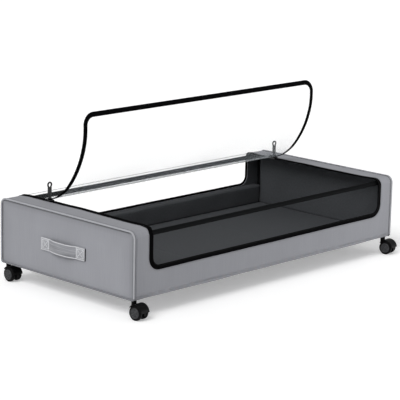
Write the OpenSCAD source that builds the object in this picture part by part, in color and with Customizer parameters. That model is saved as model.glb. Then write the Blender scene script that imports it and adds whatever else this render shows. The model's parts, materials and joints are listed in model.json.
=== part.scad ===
// Under bed storage box: a soft fabric cover over a frame of steel tubes, with a
// stiff floor board, a clear lid that zips round the opening, a carrying strap on
// each end and four swivelling twin-wheel casters.
//
// Lengths are in millimetres and angles in degrees. The floor that the box stands
// on is z = 0, the long side runs along X and the front is at -Y. The origin is
// the middle of the floor area.

/* [Box] */
// Length of the box over its end seams
box_l = 800; // [600:10:1000]
// Width of the box from front to back
box_w = 400; // [380:10:500]
// Height of the fabric box above its casters
box_h = 139; // [130:1:200]
// Radius of the long top edges
edge_r = 15; // [14:1:20]
// Radius of the long bottom edges
base_r = 6; // [4:1:8]
// Thickness of the cover fabric
cover_t = 2; // [1:0.5:2.5]
// Width of the piping round the end panels
piping_w = 3; // [2:0.5:4]
// How far the piping stands proud of the fabric
piping_out = 1.2; // [0.5:0.1:2]

/* [Opening] */
// Width of the fabric margin left at each end of the opening
margin_w = 50; // [40:1:70]
// Height of the long side windows' lower edge above the bottom of the cover
sill_h = 59; // [40:1:70]
// Radius of the windows' lower corners
window_r = 28; // [15:1:35]
// Width of the zip tape
tape_w = 9; // [7:1:12]
// Thickness of the zip tape and teeth on the cover
tape_t = 1.2; // [0.8:0.1:1.6]
// How much of the tape is sewn on the fabric
tape_lap = 5; // [4:0.5:6]

/* [Frame] */
// Outer diameter of the frame tubes
rod_d = 10; // [8:0.5:10]
// Wall thickness of the frame tubes
rod_wall = 1; // [0.8:0.1:1.5]
// Distance of the tube centres from the outside of the cover
rod_inset = 11; // [11:0.5:14]
// How much thicker than the tubes a corner connector is on each side
knuckle_t = 2.5; // [2:0.1:3]
// Length of a connector's arm outside the tube
knuckle_l = 9; // [8:0.5:14]
// Length of a connector's spigot inside the tube
spigot_l = 20; // [12:1:30]
// Number of cross tubes under the floor board
cross_n = 4; // [2:1:5]
// Thickness of the floor board
board_t = 3; // [2:0.5:5]
// Thickness of the lining
lining_t = 1.5; // [1:0.1:2]
// Gap between the corner connectors and the lining
lining_gap = 0.7; // [0.5:0.1:5]

/* [Handle] */
// Length of the handle strap along the end panel
strap_l = 130; // [110:1:160]
// Width of the strap webbing
strap_w = 26; // [20:1:32]
// Thickness of the strap webbing
strap_t = 2; // [1.5:0.1:3]
// Length of the stitched pad at each end of the strap
pad_l = 28; // [20:1:34]
// How far the strap bows out from the end panel
strap_bow = 12; // [9:1:18]
// Height of the strap's middle above the bottom of the cover
strap_z = 68.5; // [50:0.5:90]

/* [Lid] */
// Distance of the lid's fold line from the middle of the box
fold_y = 100; // [60:5:120]
// Length of one strip of the lid
strip_l = 47; // [30:1:48]
// Thickness of the clear sheet
sheet_t = 0.8; // [0.5:0.1:1]
// Thickness of the lid's edge tape
lid_tape_t = 1.6; // [1.2:0.1:2]
// Width of the tape on the lid's free edge
free_tape_w = 11; // [9:1:14]
// Radius of the lid's free corners
corner_r = 27; // [18:1:32]
// Angle by which the lid rises at its fold line
rise_1 = 31; // [10:1:40]
// Angle that the second strip adds
rise_2 = 21; // [0:1:30]
// Angle that the third strip adds
rise_3 = 12; // [0:1:30]
// Angle that the fourth strip adds
rise_4 = 13; // [0:1:30]
// Angle that the fifth strip adds
rise_5 = 17; // [0:1:30]

/* [Zip slider] */
// Length of the slider
slider_l = 15; // [12:1:20]
// Width of the slider
slider_w = 12; // [11:0.5:14]
// Thickness of the slider's top plate
slider_t = 1.8; // [1.5:0.1:2.5]
// Distance from the slider's front end to the lid's fold line
slider_back = 0.8; // [0.6:0.1:5]
// Diameter of the pin that the pull tab turns on
pull_pin_d = 1.8; // [1.5:0.1:2]
// Length of the pull tab from its pin to the middle of its ring
pull_l = 29; // [24:1:36]
// Thickness of the pull tab
pull_t = 1.6; // [1.2:0.1:2]
// Width of the pull tab's neck, just above the slider
pull_neck_w = 3.4; // [3:0.1:5]
// Height of that neck above the pin
pull_neck_z = 5.5; // [5:0.1:7]
// Width of the pull tab's body
pull_body_w = 10; // [8:0.5:11]
// Outer diameter of the pull tab's ring
ring_d = 12.8; // [11.6:0.2:14]
// Width of the teardrop hole in the ring
ring_hole_d = 6.5; // [5:0.1:8]
// Length of that hole
ring_hole_l = 10; // [9.5:0.5:12]

/* [Casters] */
// Height of a caster from the floor to the cover
caster_h = 37; // [36:0.5:46]
// Diameter of a wheel
wheel_d = 30; // [28:0.5:30]
// Width of a wheel with its domed face
wheel_w = 8.5; // [8:0.5:10]
// How far the middle of a wheel's outer face bulges
wheel_dome = 1.5; // [1:0.1:2]
// Space between the two wheels of a caster
wheel_gap = 11; // [11:0.5:14]
// Distance of the axle behind the swivel stem
trail = 13; // [12:0.5:16]
// Diameter of the swivel stem
stem_d = 6; // [5:0.5:6]
// Length of the stem inside the caster
stem_l = 16; // [12:1:18]
// Diameter of the axle
axle_d = 4; // [3:0.5:5]
// Thickness of the hood over the wheels
hood_t = 1.6; // [1.5:0.1:2]
// Gap between the hood and the treads
hood_gap = 1; // [0.8:0.1:1.2]
// Angle by which the right hand casters are turned outwards
caster_turn = 10; // [0:1:45]
// Angle by which the front left caster is turned inwards
front_left_turn = 4; // [0:1:30]

/* [Hidden] */

$fn = 64;
seat = 0.3;              // gap between pieces that rest on each other
running = 0.05;          // radial clearance of a shaft in its hole
over = 1;                // how far a cutting shape runs past what it cuts

fabric_grey = "#8E8F93";
lining_grey = "#45474A";
tape_black = "#17171A";
tube_black = "#26272A";
strap_grey = "#B5B5BA";
clear_pvc = [0.86, 0.9, 0.93, 0.35];
moulding_black = "#1E1F21";
tread_grey = "#3A3B3D";

// cover
base_z = caster_h;
top_z = base_z + box_h;
half_l = box_l / 2;
half_w = box_w / 2;
sill_z = base_z + sill_h;
panel_x = half_l - piping_w / 2;         // outer face of an end panel
wrap_x = min(panel_x - cover_t, half_l - piping_w);   // end of the wrap
edge_x = half_l - margin_w;              // outer edge of the zip tape
fabric_x = edge_x - tape_lap;            // inner edge of the margin's fabric
tape_x = edge_x - tape_w;                // inner edge of the zip tape

// frame
rod_r = rod_d / 2;
knuckle_r = rod_r + knuckle_t;
spigot_r = rod_r - rod_wall - running;
rod_x = panel_x - rod_inset;
rod_y = half_w - rod_inset;
edge_reach = edge_r - cover_t - knuckle_r - seat / 2;
rod_top_z = top_z - edge_r + sqrt(pow(edge_reach, 2) - pow(max(edge_r - rod_inset, 0), 2));
rod_base_z = base_z + cover_t + seat + knuckle_r;
board_z = rod_base_z + rod_r + seat;
lining_x = rod_x - knuckle_r - lining_gap - lining_t;
lining_y = rod_y - knuckle_r - lining_gap - lining_t;
post_l = rod_top_z - rod_base_z - 2 * knuckle_l;

// lid: the strips' angles above the horizontal, and their near edges
rises = [rise_1, rise_2, rise_3, rise_4, rise_5];
strip_n = len(rises);
function slope(i) = i == 0 ? rises[0] : slope(i - 1) + rises[i];
lid_z = top_z + tape_t + seat + lid_tape_t / 2;
function near_edge(i) = i == 0
  ? [fold_y, lid_z]
  : near_edge(i - 1) + strip_l * [-cos(slope(i - 1)), sin(slope(i - 1))];
bend_room = 0.28;                        // space for a bend, as a share of the tape's thickness
strip_gap = lid_tape_t * bend_room;      // keeps the strips apart as they bend

// zip slider
track_x = (edge_x + tape_x) / 2;
slider_y = fold_y + slider_back + slider_l / 2;
slider_z = top_z + tape_t + seat;
pull_r = pull_pin_d / 2 + 1;
pull_z = slider_z + slider_t + seat + pull_r;
eye_w = 6;                               // width of the pull tab at its pin
ear_t = 1.4;                             // thickness of the slider's ears
keel_t = 1.6;                            // thickness of the slider below the tape

// casters: the stems are screwed into the bottom corner connectors
wheel_r = wheel_d / 2;
caster_w = wheel_gap + 2 * wheel_w;
hood_r = wheel_r + hood_gap;
hood_w = caster_w - 2 * wheel_dome;
hood_start = 35;                         // the hood's ends, as angles about the axle
hood_end = 175;
boss_r = wheel_gap / 2 - seat;
boss_top = caster_h - 2 * seat;
stem_top = rod_base_z + rod_r / 2;       // top of a stem inside its connector
boss_floor = 5;                          // depth of the boss below the stem
web_t = 5;                               // thickness of the web between the wheels
hub_r = 4.5;
bore_l = wheel_w - 2;                    // depth of a wheel's blind bore

// ---------------------------------------------------------------- outlines

// Section of the cover across its width, grown by g, drawn with y across and z up
module section(g) {
  for (s = [-1, 1]) {
    translate([s * (half_w - edge_r), top_z - edge_r]) circle(edge_r + g);
    translate([s * (half_w - base_r), base_z + base_r]) circle(base_r + g);
  }
  translate([-half_w - g, base_z + base_r]) square([box_w + 2 * g, box_h - edge_r - base_r]);
  translate([-half_w + edge_r, top_z - edge_r - over])
    square([box_w - 2 * edge_r, edge_r + over + g]);
  translate([-half_w + base_r, base_z - g]) square([box_w - 2 * base_r, base_r + over + g]);
}

// A band between two growths of the section, from x0 to x1
module band(x0, x1, g_out, g_in) {
  translate([x0, 0, 0]) rotate([90, 0, 90]) linear_extrude(x1 - x0)
    difference() {
      section(g_out);
      section(g_in);
    }
}

// A block given by its low and high corners
module block(low, high) {
  translate(low) cube(high - low);
}

// The opening: both windows and the top, inside |x| = reach, its corners rounded
module opening_cut(reach, sill, r) {
  translate([0, half_w + 2 * over, 0]) rotate([90, 0, 0])
    linear_extrude(box_w + 4 * over) opening_outline(reach, sill, r);
}

module opening_outline(reach, sill, r) {
  for (s = [-1, 1])
    translate([s * (reach - r), sill + r]) circle(r);
  translate([-reach + r, sill]) square([2 * (reach - r), r + over]);
  translate([-reach, sill + r]) square([2 * reach, top_z + 10 * over - sill - r]);
}

// ---------------------------------------------------------------- cover

module end_panel(side) {
  color(fabric_grey)
    translate([side * (panel_x - cover_t / 2) - cover_t / 2, 0, 0]) rotate([90, 0, 90])
      linear_extrude(cover_t) section(piping_out - piping_w);
}

module end_piping() {
  color(fabric_grey)
    for (s = [-1, 1])
      intersection() {
        band(s * (half_l - piping_w / 2) - piping_w / 2,
             s * (half_l - piping_w / 2) + piping_w / 2, piping_out, piping_out - piping_w);
        block([-box_l, -box_w, base_z], [box_l, box_w, 2 * top_z]);
      }
}

// The margin at one end of the opening, with the long sides' uprights below it
module wrap_end(side) {
  color(fabric_grey)
    difference() {
      intersection() {
        band(-wrap_x, wrap_x, 0, -cover_t);
        translate([side * half_l, 0, sill_z + box_h])
          cube([2 * (half_l - fabric_x + window_r), 2 * box_w, 2 * box_h], center = true);
      }
      opening_cut(fabric_x, sill_z, window_r - tape_lap);
    }
}

// A long side below its window
module wrap_side(side) {
  color(fabric_grey)
    intersection() {
      band(-wrap_x, wrap_x, 0, -cover_t);
      block([-half_l, side > 0 ? half_w - base_r : -half_w - over, 0],
            [half_l, side > 0 ? half_w + over : -half_w + base_r, sill_z]);
    }
}

module wrap_bottom() {
  color(fabric_grey)
    difference() {
      block([-wrap_x, -half_w + base_r, base_z], [wrap_x, half_w - base_r, base_z + cover_t]);
      at_casters() translate([0, 0, base_z - over])
        cylinder(d = stem_d + 2 * seat, h = cover_t + 2 * over);
    }
}

module lining_ends() {
  color(lining_grey)
    for (s = [-1, 1])
      translate([s * (lining_x + lining_t / 2), 0, (board_z + top_z - cover_t - seat) / 2])
        cube([lining_t, 2 * (lining_y - seat), top_z - cover_t - seat - board_z], center = true);
}

// Each long side's lining rises to the window sill and turns out to the cover
module lining_sides() {
  color(lining_grey)
    for (s = [-1, 1]) {
      translate([0, s * (lining_y + lining_t / 2), (board_z + sill_z) / 2])
        cube([2 * (lining_x + lining_t), lining_t, sill_z - board_z], center = true);
      translate([0, s * (lining_y + half_w - cover_t) / 2, sill_z - lining_t / 2])
        cube([2 * (fabric_x - window_r), half_w - cover_t - lining_y, lining_t], center = true);
    }
}

module floor_board() {
  color(lining_grey)
    block([-lining_x + seat, -lining_y + seat, board_z],
          [lining_x - seat, lining_y - seat, board_z + board_t]);
}

// Webbing strap: a stitched pad at each end and a bow between them
module handle(side) {
  chord = strap_l / 2 - pad_l;
  bow_r = (pow(chord, 2) + pow(strap_bow, 2)) / (2 * strap_bow);
  color(strap_grey)
    translate([side * panel_x, 0, base_z + strap_z - strap_w / 2])
      mirror([side < 0 ? 1 : 0, 0, 0]) linear_extrude(strap_w) {
        for (s = [-1, 1])
          translate([0, s * (strap_l - pad_l) / 2 - pad_l / 2]) square([strap_t, pad_l]);
        intersection() {
          translate([strap_bow - bow_r, 0]) difference() {
            circle(bow_r + strap_t, $fn = 128);
            circle(bow_r, $fn = 128);
          }
          translate([0, -chord - strap_t / 2])
            square([strap_bow + strap_t + over, 2 * chord + strap_t]);
        }
      }
}

// ---------------------------------------------------------------- zip and clear sheets

// Tape round the whole opening: over the top at both ends and round both windows
module zip_track() {
  turn_z = sill_z - tape_lap + window_r;
  color(tape_black) {
    for (s = [-1, 1]) {
      intersection() {
        band(s * track_x - tape_w / 2, s * track_x + tape_w / 2, tape_t, 0);
        block([-half_l, -box_w, turn_z], [half_l, box_w, 2 * top_z]);
      }
      translate([0, s * (half_w + tape_t / 2) + tape_t / 2, 0]) rotate([90, 0, 0])
        linear_extrude(tape_t) intersection() {
          difference() {
            opening_outline(edge_x, sill_z - tape_lap, window_r);
            opening_outline(tape_x, sill_z - tape_lap + tape_w, window_r - tape_w);
          }
          translate([-half_l, base_z]) square([box_l, turn_z - base_z]);
        }
    }
  }
}

// Fixed clear sheet: the back window and the top behind the lid's fold
module rear_sheet() {
  sheet_x = track_x - slider_w / 2 - seat;
  color(clear_pvc)
    intersection() {
      band(-sheet_x, sheet_x, sheet_t, 0);
      block([-sheet_x, fold_y, sill_z + tape_w - tape_lap + window_r - tape_w],
            [sheet_x, box_w, 2 * top_z]);
    }
  color(clear_pvc)
    translate([0, half_w + sheet_t, 0]) rotate([90, 0, 0]) linear_extrude(sheet_t)
      intersection() {
        opening_outline(sheet_x, sill_z + tape_w - tape_lap, window_r - tape_w);
        translate([-sheet_x, sill_z])
          square([2 * sheet_x, tape_w - tape_lap + window_r - tape_w]);
      }
}

// Places a child drawn flat, with its near edge at y = 0 and running to -Y, as strip i
module as_strip(i) {
  p = near_edge(i);
  translate([0, p[0], p[1]]) rotate([-slope(i), 0, 0]) children();
}

// Outline of one strip of the lid, inset from its side edges; the last has round corners
module strip_outline(i, side_in, end_in) {
  half = edge_x - side_in;
  far = strip_l - (i == strip_n - 1 ? end_in : strip_gap);
  r = i == strip_n - 1 ? corner_r - side_in : 0;
  intersection() {
    translate([-half, -far]) square([2 * half, far - strip_gap]);
    union() {
      for (s = [-1, 1])
        translate([s * (half - r), -far + r]) circle(r);
      translate([-half + r, -far]) square([2 * (half - r), far]);
      translate([-half, -far + r]) square([2 * half, far]);
    }
  }
}

module lid_sheet(i) {
  color(clear_pvc)
    as_strip(i) translate([0, 0, -sheet_t / 2]) linear_extrude(sheet_t)
      strip_outline(i, tape_w, free_tape_w);
}

module lid_tape(i) {
  color(tape_black)
    as_strip(i) translate([0, 0, -lid_tape_t / 2]) linear_extrude(lid_tape_t)
      difference() {
        strip_outline(i, 0, 0);
        strip_outline(i, tape_w, free_tape_w);
      }
}

// Slider: a plate over the tape, a keel that hooks under it and two ears with a pin
module slider(side) {
  keel_z = top_z - seat - keel_t;
  ear_z = slider_z + slider_t - seat;
  color(tape_black)
    translate([side * track_x, slider_y, 0]) mirror([side < 0 ? 1 : 0, 0, 0]) {
      translate([-slider_w / 2, -slider_l / 2, slider_z]) cube([slider_w, slider_l, slider_t]);
      translate([-slider_w / 2, -slider_l / 2, keel_z])
        cube([slider_w / 2 - tape_w / 2 - seat, slider_l, slider_z + slider_t - keel_z]);
      translate([-slider_w / 2, -slider_l / 2, keel_z])
        cube([slider_w / 2 + tape_w / 2 - tape_lap - seat, slider_l, keel_t]);
      for (s = [-1, 1])
        translate([s * (eye_w / 2 + seat + ear_t / 2), 0, 0]) {
          translate([0, 0, pull_z]) rotate([0, 90, 0]) cylinder(r = pull_r, h = ear_t, center = true);
          translate([-ear_t / 2, -pull_r, ear_z]) cube([ear_t, 2 * pull_r, pull_z - ear_z]);
        }
      translate([0, 0, pull_z]) rotate([0, 90, 0])
        cylinder(d = pull_pin_d, h = eye_w + 2 * (seat + ear_t), center = true);
    }
}

// Outline of the pull tab, with its pin at the origin: a neck, a body and a ring
module pull_outline() {
  body_z = pull_neck_z + (pull_body_w - pull_neck_w) / 2;
  join_z = pull_l - sqrt(pow(ring_d / 2, 2) - pow(pull_body_w / 2, 2));
  translate([0, pull_l]) circle(d = ring_d);
  for (s = [-1, 1])
    polygon([[0, 0], [s * eye_w / 2, 0], [s * pull_neck_w / 2, pull_neck_z],
             [s * pull_body_w / 2, body_z], [s * pull_body_w / 2, join_z], [0, join_z]]);
}

// Teardrop hole with the middle of its round end at the origin and its tip at -Y
module teardrop(w, l) {
  r = w / 2;
  tip = l - r;
  turn = asin(r / tip);
  circle(r);
  polygon([[-r * cos(turn), -r * sin(turn)], [r * cos(turn), -r * sin(turn)], [0, -tip]]);
}

// Pull tab with an eye round the pin
module pull(side) {
  color(tape_black)
    translate([side * track_x, slider_y, pull_z])
      difference() {
        union() {
          rotate([0, 90, 0]) cylinder(r = pull_r, h = eye_w, center = true);
          translate([0, pull_t / 2, 0]) rotate([90, 0, 0]) linear_extrude(pull_t)
            difference() {
              pull_outline();
              translate([0, pull_l]) teardrop(ring_hole_d, ring_hole_l);
            }
        }
        rotate([0, 90, 0])
          cylinder(d = pull_pin_d + 2 * running, h = eye_w + 2 * over, center = true);
      }
}

// ---------------------------------------------------------------- frame

module tube(l) {
  color(tube_black)
    difference() {
      cylinder(r = rod_r, h = l, center = true);
      cylinder(r = rod_r - rod_wall, h = l + 2 * over, center = true);
    }
}

module long_tube(side, z) {
  translate([0, side * rod_y, z]) rotate([0, 90, 0]) tube(2 * (rod_x - knuckle_l));
}

module short_tube(side, z) {
  translate([side * rod_x, 0, z]) rotate([90, 0, 0]) tube(2 * (rod_y - knuckle_l));
}

module corner_posts() {
  for (sx = [-1, 1], sy = [-1, 1])
    translate([sx * rod_x, sy * rod_y, (rod_top_z + rod_base_z) / 2]) tube(post_l);
}

module cross_tubes() {
  span = 2 * (rod_x - knuckle_l);
  for (i = [1 : cross_n])
    translate([-span / 2 + span * i / (cross_n + 1), 0, rod_base_z])
      rotate([90, 0, 0]) tube(2 * (rod_y - rod_r - seat));
}

// One arm of a corner connector: the part outside the tube and the spigot in it
module arm() {
  cylinder(r = knuckle_r, h = knuckle_l);
  cylinder(r = spigot_r, h = knuckle_l + spigot_l);
}

// Three-way connector with arms towards the middle of the box
module corner(sx, sy, sz) {
  color(moulding_black) {
    sphere(r = knuckle_r);
    rotate([0, -sx * 90, 0]) arm();
    rotate([sy * 90, 0, 0]) arm();
    mirror([0, 0, sz > 0 ? 1 : 0]) arm();
  }
}

module corners(sz, z) {
  for (sx = [-1, 1], sy = [-1, 1])
    translate([sx * rod_x, sy * rod_y, z]) corner(sx, sy, sz);
}

// The bottom connectors have a hole for the caster's stem
module bottom_corners() {
  color(moulding_black)
    difference() {
      corners(-1, rod_base_z);
      at_casters() translate([0, 0, base_z]) cylinder(d = stem_d + 2 * running, h = stem_top - base_z + seat);
    }
}

// ---------------------------------------------------------------- casters

// Direction in which each caster trails, as a turn from -Y
function caster_angle(sx, sy) =
  sx > 0 ? (sy < 0 ? caster_turn : 180 - caster_turn) : (sy < 0 ? front_left_turn : 0);

module at_caster(sx, sy) {
  translate([sx * rod_x, sy * rod_y, 0]) rotate([0, 0, caster_angle(sx, sy)]) children();
}

module at_casters() {
  for (sx = [-1, 1], sy = [-1, 1]) at_caster(sx, sy) children();
}

// Places a child drawn about an upright axis on the axle of a caster
module at_axle(sx, sy) {
  at_caster(sx, sy) translate([0, -trail, wheel_r]) rotate([90, 0, 90]) children();
}

module caster_stems() {
  color(moulding_black)
    at_casters() translate([0, 0, boss_top - stem_l])
      cylinder(d = stem_d, h = stem_top - boss_top + stem_l);
}

// Moulded hood: a fender over both treads with round edges, a web between the wheels,
// a hub and a boss that takes the stem
module hood(sx, sy) {
  edge = hood_t / 2;
  color(moulding_black)
    difference() {
      union() {
        at_caster(sx, sy) translate([0, 0, boss_top - stem_l - boss_floor])
          cylinder(r = boss_r, h = stem_l + boss_floor);
        at_axle(sx, sy) {
          difference() {
            union() {
              rotate([0, 0, hood_start]) rotate_extrude(angle = hood_end - hood_start, $fn = 96) {
                translate([hood_r, edge - hood_w / 2]) square([hood_t, hood_w - hood_t]);
                for (s = [-1, 1])
                  translate([hood_r + edge, s * (hood_w / 2 - edge)]) circle(edge, $fn = 32);
              }
              translate([0, 0, -web_t / 2]) cylinder(r = hood_r + edge, h = web_t);
            }
            translate([-2 * wheel_d, -2 * wheel_d - hub_r, -caster_w])
              cube([4 * wheel_d, 2 * wheel_d, 2 * caster_w]);
          }
          cylinder(r = hub_r, h = wheel_gap - 2 * seat, center = true);
        }
      }
      at_caster(sx, sy) translate([0, 0, boss_top - stem_l - seat])
        cylinder(d = stem_d + 2 * running, h = caster_h);
      at_axle(sx, sy) cylinder(d = axle_d + 2 * running, h = caster_w, center = true);
    }
}

module axle(sx, sy) {
  color("dimgray")
    at_axle(sx, sy) cylinder(d = axle_d, h = wheel_gap + 2 * (bore_l - seat), center = true);
}

// Half the section of a wheel, from its inner side at y = 0 to its domed outer face
module wheel_section() {
  shoulder = 2;
  rim_t = 4;
  face_t = 2;
  face_y = wheel_w - wheel_dome;
  face_r = wheel_r - shoulder;
  dome_r = (pow(face_r, 2) + pow(wheel_dome, 2)) / (2 * wheel_dome);
  for (y = [shoulder, face_y - shoulder])
    translate([face_r, y]) circle(shoulder, $fn = 32);
  translate([wheel_r - rim_t, 0]) square([rim_t - shoulder, face_y]);
  translate([wheel_r - rim_t, shoulder]) square([rim_t, face_y - 2 * shoulder]);
  translate([0, face_y - face_t]) square([face_r, face_t]);
  translate([0, seat]) square([hub_r, face_y - seat]);
  intersection() {
    translate([0, wheel_w - dome_r]) circle(dome_r, $fn = 256);
    translate([0, face_y]) square([face_r, wheel_dome]);
  }
}

module wheel(sx, sy, end) {
  color(tread_grey)
    at_axle(sx, sy) mirror([0, 0, end < 0 ? 1 : 0]) translate([0, 0, wheel_gap / 2])
      difference() {
        rotate_extrude($fn = 96) wheel_section();
        translate([0, 0, -over]) cylinder(d = axle_d + 2 * running, h = bore_l + over);
      }
}

// ---------------------------------------------------------------- nodes

end_panel(-1);  // end_panel_left
end_panel(1);  // end_panel_right
wrap_end(-1);  // wrap_end_left
wrap_end(1);  // wrap_end_right
wrap_side(-1);  // wrap_front
wrap_side(1);  // wrap_back
wrap_bottom();
end_piping();
lining_ends();
lining_sides();
floor_board();
handle(-1);  // handle_left
handle(1);  // handle_right
zip_track();
rear_sheet();
long_tube(-1, rod_top_z);  // top_tube_front
long_tube(1, rod_top_z);  // top_tube_back
short_tube(-1, rod_top_z);  // top_tube_left
short_tube(1, rod_top_z);  // top_tube_right
long_tube(-1, rod_base_z);  // bottom_tube_front
long_tube(1, rod_base_z);  // bottom_tube_back
short_tube(-1, rod_base_z);  // bottom_tube_left
short_tube(1, rod_base_z);  // bottom_tube_right
corner_posts();
cross_tubes();
corners(1, rod_top_z);  // top_corners
bottom_corners();
lid_sheet(0);  // lid_sheet_1
lid_sheet(1);  // lid_sheet_2
lid_sheet(2);  // lid_sheet_3
lid_sheet(3);  // lid_sheet_4
lid_sheet(4);  // lid_sheet_5
lid_tape(0);  // lid_tape_1
lid_tape(1);  // lid_tape_2
lid_tape(2);  // lid_tape_3
lid_tape(3);  // lid_tape_4
lid_tape(4);  // lid_tape_5
slider(-1);  // slider_left
slider(1);  // slider_right
pull(-1);  // pull_left
pull(1);  // pull_right
caster_stems();
hood(-1, -1);  // hood_front_left
hood(1, -1);  // hood_front_right
hood(-1, 1);  // hood_back_left
hood(1, 1);  // hood_back_right
axle(-1, -1);  // axle_front_left
axle(1, -1);  // axle_front_right
axle(-1, 1);  // axle_back_left
axle(1, 1);  // axle_back_right
wheel(-1, -1, -1);  // wheel_front_left_a
wheel(-1, -1, 1);  // wheel_front_left_b
wheel(1, -1, -1);  // wheel_front_right_a
wheel(1, -1, 1);  // wheel_front_right_b
wheel(-1, 1, -1);  // wheel_back_left_a
wheel(-1, 1, 1);  // wheel_back_left_b
wheel(1, 1, -1);  // wheel_back_right_a
wheel(1, 1, 1);  // wheel_back_right_b
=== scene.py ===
"""Looks of an under bed storage box: a stretched polyester cover with a dark lining,
zip tape round the opening, a clear lid, webbing straps and black casters.

Sizes inside the functions are in millimetres and are turned into metres where a
mesh is made. The floor is z = 0, X runs along the box and -Y is its front.
"""
import json
import math

import bmesh
import bpy
import numpy as np
from mathutils import Matrix, Vector


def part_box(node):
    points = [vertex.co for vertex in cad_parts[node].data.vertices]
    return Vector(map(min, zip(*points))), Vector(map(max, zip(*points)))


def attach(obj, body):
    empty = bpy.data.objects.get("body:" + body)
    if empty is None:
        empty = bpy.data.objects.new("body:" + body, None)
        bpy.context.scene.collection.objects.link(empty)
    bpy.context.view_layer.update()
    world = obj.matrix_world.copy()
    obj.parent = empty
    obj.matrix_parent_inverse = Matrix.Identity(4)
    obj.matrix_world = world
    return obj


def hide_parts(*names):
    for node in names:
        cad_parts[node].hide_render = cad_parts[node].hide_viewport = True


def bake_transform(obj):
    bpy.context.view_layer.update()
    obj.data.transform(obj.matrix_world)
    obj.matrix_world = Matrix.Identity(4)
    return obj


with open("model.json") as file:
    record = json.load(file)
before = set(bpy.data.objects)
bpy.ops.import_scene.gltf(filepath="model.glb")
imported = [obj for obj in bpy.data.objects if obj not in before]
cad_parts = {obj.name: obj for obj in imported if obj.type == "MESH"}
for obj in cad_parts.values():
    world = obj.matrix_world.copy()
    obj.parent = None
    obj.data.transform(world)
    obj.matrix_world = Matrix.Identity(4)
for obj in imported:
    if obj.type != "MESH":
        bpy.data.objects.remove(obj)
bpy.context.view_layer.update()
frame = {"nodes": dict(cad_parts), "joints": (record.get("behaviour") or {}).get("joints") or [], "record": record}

bl_info = {
    "name": "Under Bed Storage Box",
    "version": (1, 0, 0),
    "blender": (4, 5, 0),
    "location": "View3D > Sidebar > Storage Box",
    "description": "Builds the cover, lid, straps and finishes of an under bed storage box",
    "category": "Add Mesh",
}

MM = 0.001


def box_mm(node):
    """Lowest and highest corner of a CAD node, in millimetres."""
    low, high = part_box(node)
    return np.array(low) / MM, np.array(high) / MM


# ------------------------------------------------------------------ sizes from the frame

HALF_L = box_mm("end_piping")[1][0]
HALF_W, TOP_Z = box_mm("wrap_end_right")[1][1:]
BASE_Z = box_mm("wrap_bottom")[0][2]
BASE_R = HALF_W - box_mm("wrap_bottom")[1][1]
WRAP_X, _, SILL_Z = box_mm("wrap_front")[1]
PANEL_X = box_mm("end_panel_right")[1][0]
EDGE_X = box_mm("zip_track")[1][0]

# the cover
EDGE_R = 15.0                 # radius of the long top edges
WINDOW_R = 28.0               # radius of the windows' lower corners
WINDOW_FLARE = 9.0            # how much wider the windows are than the top opening
TAPE_LAP = 5.0                # how far the zip tape reaches over the fabric
SEAM_DIP = 1.3                # how far the cloth is drawn in beside the piping
COVER_WALL = 1.6
PANEL_WALL = 1.4
LINING_WALL = 0.8
SHEET_WALL = 0.5

# teeth and stitches: distance from one to the next, and (long, wide, high)
TOOTH_GAP, TOOTH, LID_TOOTH = 2.6, (1.5, 3.0, 1.1), (1.5, 3.0, 2.2)
STITCH_GAP, STITCH = 4.0, (3.0, 0.7, 0.6)
STRAP_STITCH_GAP, STRAP_STITCH = 2.6, (2.5, 1.4, 0.9)

# the lid's chain of strips
LID_HINGES = np.array([j["pos_m"] for j in frame["joints"] if j["child"].startswith("lid_")]) / MM
STRIP_N = len(LID_HINGES)
STRIP_L = float(np.linalg.norm(LID_HINGES[1] - LID_HINGES[0]))
LID_END = STRIP_N * STRIP_L
LID_HALF = box_mm("lid_tape_1")[1][0]
FOLD_Y = LID_HINGES[0][1]
LID_START_Z = LID_HINGES[0][2] + 0.2
LAST_RISE = math.radians(17)  # how much steeper the last strip is than the one before
LID_INSET = 4.0               # how far the clear sheet's edge lies inside the lid's tape

# the stage, in metres
CAMERA_EYE = (-2.6970, -2.5801, 1.0003)
CAMERA_AIM = (-0.0954, -0.0800, 0.1741)
CAMERA_ROLL = 1.31
CAMERA_LENS = 159.85
WORLD_LIGHT = (0.57, 0.36)    # at the horizon and overhead
FLOOR_HALF = 30.0
FLOOR_GLOW = 0.3
SUN_FROM = (-1.0, -0.2, 1.1)
SUN_POWER = 1.76
SUN_ANGLE = 35.0
FILL_AT = (1.0, -1.1, 0.12)
FILL_AIM = (0.35, -0.2, 0.1)
FILL_SIZE = (0.6, 0.12)
FILL_POWER = 3.5


# ------------------------------------------------------------------ settings

def linear(code):
    """Linear RGBA of an sRGB hex code."""
    rgb = np.array([int(code[i:i + 2], 16) for i in (0, 2, 4)]) / 255
    rgb = np.where(rgb <= 0.04045, rgb / 12.92, ((rgb + 0.055) / 1.055) ** 2.4)
    return (*rgb.tolist(), 1.0)


def length(name, description, default, low, high):
    """A length property: its numbers are given in millimetres and kept in metres."""
    return bpy.props.FloatProperty(name=name, description=description, default=default * MM,
                                   min=low * MM, max=high * MM, precision=4, unit="LENGTH")


def colour(name, description, default):
    """A colour property, with its default as an sRGB hex code."""
    return bpy.props.FloatVectorProperty(name=name, description=description, size=4, min=0, max=1,
                                         default=linear(default), subtype="COLOR")


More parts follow.
